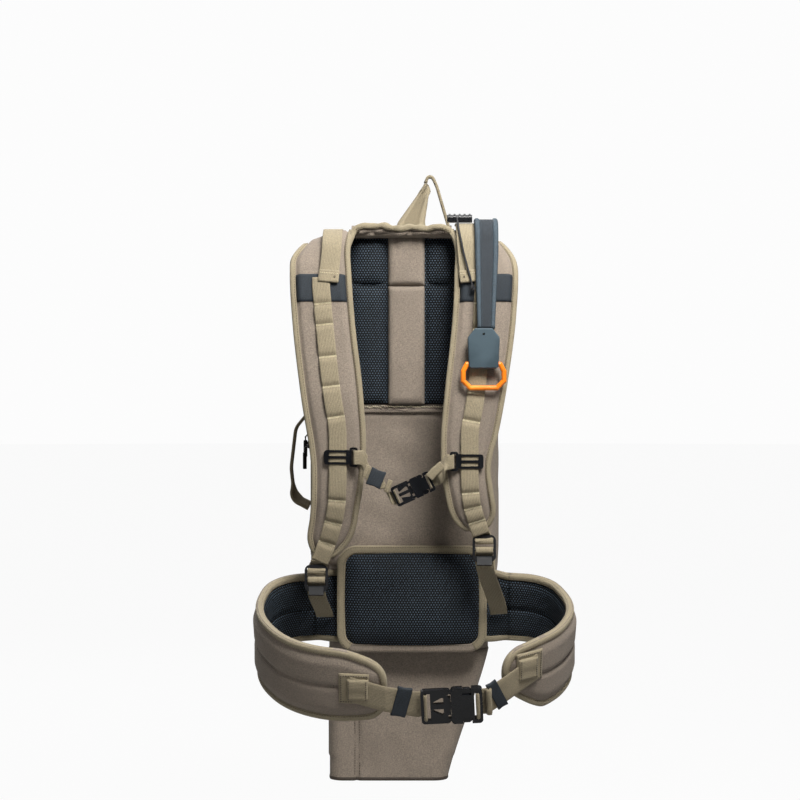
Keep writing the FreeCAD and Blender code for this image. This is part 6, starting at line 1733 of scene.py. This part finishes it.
def stage():
    """Camera at the height of the backpack's middle, a wide round floor that the camera sees as nearly white
    and that keeps the shadow, a key light from the upper right front, a fill from the left, lamps above and
    behind, and a soft sky."""
    scene = bpy.context.scene
    eye = bpy.data.cameras.new("front_view")
    eye.lens, eye.sensor_width = LENS, FILM
    scene.camera = shown("front_view", eye)
    scene.camera.location = CAMERA
    scene.camera.rotation_euler = (math.pi / 2, 0, 0)
    scene.view_settings.view_transform = "Standard"

    f = Finish("studio_white")
    seen = f.node("ShaderNodeLightPath", output="Is Camera Ray")
    through = f.node("ShaderNodeLightPath", output="Is Transmission Ray")
    white = f.node("ShaderNodeEmission", {}, {"Color": (1, 1, 1, 1), "Strength": 1.0})
    tone = f.noise(f.place(), 3, 2)
    grey = f.mix(tone, (0.30, 0.30, 0.30, 1), (0.34, 0.34, 0.34, 1))
    matt = f.node("ShaderNodeBsdfDiffuse", {}, {"Color": grey})
    share = seen.math("MULTIPLY", seen + through, FLOOR_WHITE, clamp=True)
    both = f.node("ShaderNodeMixShader", {}, {0: share, 1: matt, 2: white})
    f.node("ShaderNodeOutputMaterial", {}, {"Surface": both})

    turn = np.linspace(0, 2 * math.pi, FLOOR_SIDES + 1)[:-1]
    rim = np.stack([FLOOR_RADIUS * np.cos(turn), FLOOR_RADIUS * np.sin(turn), 0 * turn + FLOOR_LEVEL], 1)
    mesh = bpy.data.meshes.new("studio_floor")
    mesh.from_pydata(rim.tolist(), [], [list(range(FLOOR_SIDES))])
    mesh.materials.append(f.material)
    floor = shown("studio_floor", mesh)

    for name, place, size, power, tint in LAMPS:
        lamp = bpy.data.lights.new(name, "AREA")
        lamp.energy, lamp.size, lamp.color = power, size, tint
        holder = shown(name, lamp)
        holder.location = place
        aim = -unit(np.array(place) - LIT)
        holder.rotation_euler = (math.acos(np.clip(-aim[2], -1, 1)), 0, math.atan2(-aim[0], aim[1]))
    f = Finish("studio_sky", "worlds")
    strength = f.node("ShaderNodeLightPath", output="Is Camera Ray") * (WHITE - SKY) + SKY
    sky = f.node("ShaderNodeBackground", {}, {"Color": (1, 1, 1, 1), "Strength": strength})
    f.node("ShaderNodeOutputWorld", {}, {"Surface": sky})
    scene.world = f.material


# ---- operators, panel and registration ----
class BACKPACK_OT_stage(bpy.types.Operator):
    """Sets up the camera, floor and lights"""
    bl_idname = "backpack.stage"
    bl_label = "Studio"

    def execute(self, context):
        stage()
        return {"FINISHED"}


class BACKPACK_OT_cord(bpy.types.Operator):
    """Thin cord from the guide to its knot"""
    bl_idname = "backpack.cord"
    bl_label = "Retention cord"

    def execute(self, context):
        retention_cord()
        return {"FINISHED"}


class BACKPACK_OT_mouldings(bpy.types.Operator):
    """Finishes the frame's own rigid nodes"""
    bl_idname = "backpack.mouldings"
    bl_label = "Mouldings"

    def execute(self, context):
        mouldings()
        return {"FINISHED"}


class BACKPACK_OT_panel(bpy.types.Operator):
    """Brown back panel and belt core"""
    bl_idname = "backpack.panel"
    bl_label = "Back panel"

    def execute(self, context):
        back_panel()
        return {"FINISHED"}


class BACKPACK_OT_mesh_pads(bpy.types.Operator):
    """Four mesh pads on the back panel"""
    bl_idname = "backpack.mesh_pads"
    bl_label = "Mesh pads"

    def execute(self, context):
        mesh_pads()
        return {"FINISHED"}


class BACKPACK_OT_centre_strip(bpy.types.Operator):
    """Brown strip down the middle and the hem under it"""
    bl_idname = "backpack.centre_strip"
    bl_label = "Centre strip"

    def execute(self, context):
        centre_strip()
        return {"FINISHED"}


class BACKPACK_OT_lumbar(bpy.types.Operator):
    """Mesh lumbar cushion and its bound rim"""
    bl_idname = "backpack.lumbar"
    bl_label = "Lumbar cushion"

    def execute(self, context):
        lumbar()
        return {"FINISHED"}


class BACKPACK_OT_yoke(bpy.types.Operator):
    """Gathered yoke between the straps"""
    bl_idname = "backpack.yoke"
    bl_label = "Yoke"

    def execute(self, context):
        yoke()
        return {"FINISHED"}


class BACKPACK_OT_haul_loop(bpy.types.Operator):
    """Webbing grab loop"""
    bl_idname = "backpack.haul_loop"
    bl_label = "Haul loop"

    def execute(self, context):
        haul_loop()
        return {"FINISHED"}


class BACKPACK_OT_straps(bpy.types.Operator):
    """Padded straps with their binding"""
    bl_idname = "backpack.straps"
    bl_label = "Shoulder straps"

    def execute(self, context):
        for strap in (LEFT, RIGHT):
            strap_body(strap)
        return {"FINISHED"}


class BACKPACK_OT_strap_webbing(bpy.types.Operator):
    """Dark bands, ladder webbing and shoulder webbing on both straps"""
    bl_idname = "backpack.strap_webbing"
    bl_label = "Strap webbing"

    def execute(self, context):
        for strap in (LEFT, RIGHT):
            strap_band(strap)
            ladder(strap)
            shoulder_tape(strap)
        return {"FINISHED"}


class BACKPACK_OT_adjuster_webbing(bpy.types.Operator):
    """Webbing from the ladder buckles to the hip belt's core"""
    bl_idname = "backpack.adjuster_webbing"
    bl_label = "Adjuster webbing"

    def execute(self, context):
        for strap in (LEFT, RIGHT):
            adjuster_tape(strap)
        return {"FINISHED"}


class BACKPACK_OT_retainer(bpy.types.Operator):
    """Padded sleeve of the quick-pull retainer"""
    bl_idname = "backpack.retainer"
    bl_label = "Retainer sleeve"

    def execute(self, context):
        hook_sleeve()
        return {"FINISHED"}


class BACKPACK_OT_sternum(bpy.types.Operator):
    """Chest webbing and its keeper"""
    bl_idname = "backpack.sternum"
    bl_label = "Sternum webbing"

    def execute(self, context):
        for side in (-1, 1):
            sternum_webbing(side)
        sternum_keeper()
        return {"FINISHED"}


class BACKPACK_OT_hip_wings(bpy.types.Operator):
    """Padded wings of the hip belt with their binding"""
    bl_idname = "backpack.hip_wings"
    bl_label = "Hip wings"

    def execute(self, context):
        for name in WINGS:
            hip_wing(name)
            hip_wing(name, root=True)
        return {"FINISHED"}


class BACKPACK_OT_hip_webbing(bpy.types.Operator):
    """Patches, webbing, keepers and rolled end of the hip belt"""
    bl_idname = "backpack.hip_webbing"
    bl_label = "Hip webbing"

    def execute(self, context):
        for name in WINGS:
            hip_webbing(name)
        hip_keepers()
        return {"FINISHED"}


class BACKPACK_OT_bag(bpy.types.Operator):
    """Main bag and front pocket"""
    bl_idname = "backpack.bag"
    bl_label = "Bag and pocket"

    def execute(self, context):
        bag()
        front_pocket()
        return {"FINISHED"}


class BACKPACK_OT_sleeve(bpy.types.Operator):
    """Open sleeve between panel and bag"""
    bl_idname = "backpack.sleeve"
    bl_label = "Rifle sleeve"

    def execute(self, context):
        sleeve()
        return {"FINISHED"}


class BACKPACK_OT_boot(bpy.types.Operator):
    """Fold-down boot under the sleeve"""
    bl_idname = "backpack.boot"
    bl_label = "Rifle boot"

    def execute(self, context):
        boot()
        return {"FINISHED"}


class BACKPACK_OT_zips(bpy.types.Operator):
    """Side zips and side handle"""
    bl_idname = "backpack.zips"
    bl_label = "Zips and handle"

    def execute(self, context):
        zips_and_handle()
        return {"FINISHED"}


OPERATORS = (
    BACKPACK_OT_stage, BACKPACK_OT_cord, BACKPACK_OT_mouldings, BACKPACK_OT_panel, BACKPACK_OT_mesh_pads,
    BACKPACK_OT_centre_strip, BACKPACK_OT_lumbar, BACKPACK_OT_yoke, BACKPACK_OT_haul_loop,
    BACKPACK_OT_straps, BACKPACK_OT_strap_webbing, BACKPACK_OT_adjuster_webbing, BACKPACK_OT_retainer,
    BACKPACK_OT_sternum, BACKPACK_OT_hip_wings, BACKPACK_OT_hip_webbing, BACKPACK_OT_bag,
    BACKPACK_OT_sleeve, BACKPACK_OT_boot, BACKPACK_OT_zips,
)


class BACKPACK_PT_pieces(bpy.types.Panel):
    """Lists the backpack's pieces and the sizes and colours that may be changed."""
    bl_label = "Hunting backpack"
    bl_idname = "BACKPACK_PT_pieces"
    bl_space_type = "VIEW_3D"
    bl_region_type = "UI"
    bl_category = "Backpack"

    def draw(self, context):
        for key in SIZES:
            self.layout.prop(context.scene.backpack_sizes, key)
        for key in COLOURS:
            self.layout.prop(context.scene.backpack_colours, key)
        for operator in OPERATORS:
            self.layout.operator(operator.bl_idname)


CLASSES = (BackpackColours, BackpackSizes, BACKPACK_PT_pieces) + OPERATORS


def register():
    """Registers the groups, the panel and the operators, and hangs the groups on the scene."""
    for entry in CLASSES:
        bpy.utils.register_class(entry)
    bpy.types.Scene.backpack_colours = bpy.props.PointerProperty(type=BackpackColours)
    bpy.types.Scene.backpack_sizes = bpy.props.PointerProperty(type=BackpackSizes)


def unregister():
    """Takes back what register did."""
    del bpy.types.Scene.backpack_sizes
    del bpy.types.Scene.backpack_colours
    for entry in reversed(CLASSES):
        bpy.utils.unregister_class(entry)


def main():
    """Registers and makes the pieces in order."""
    register()
    for operator in OPERATORS:
        group, name = operator.bl_idname.split(".")
        getattr(getattr(bpy.ops, group), name)()


if __name__ == "__main__":
    main()
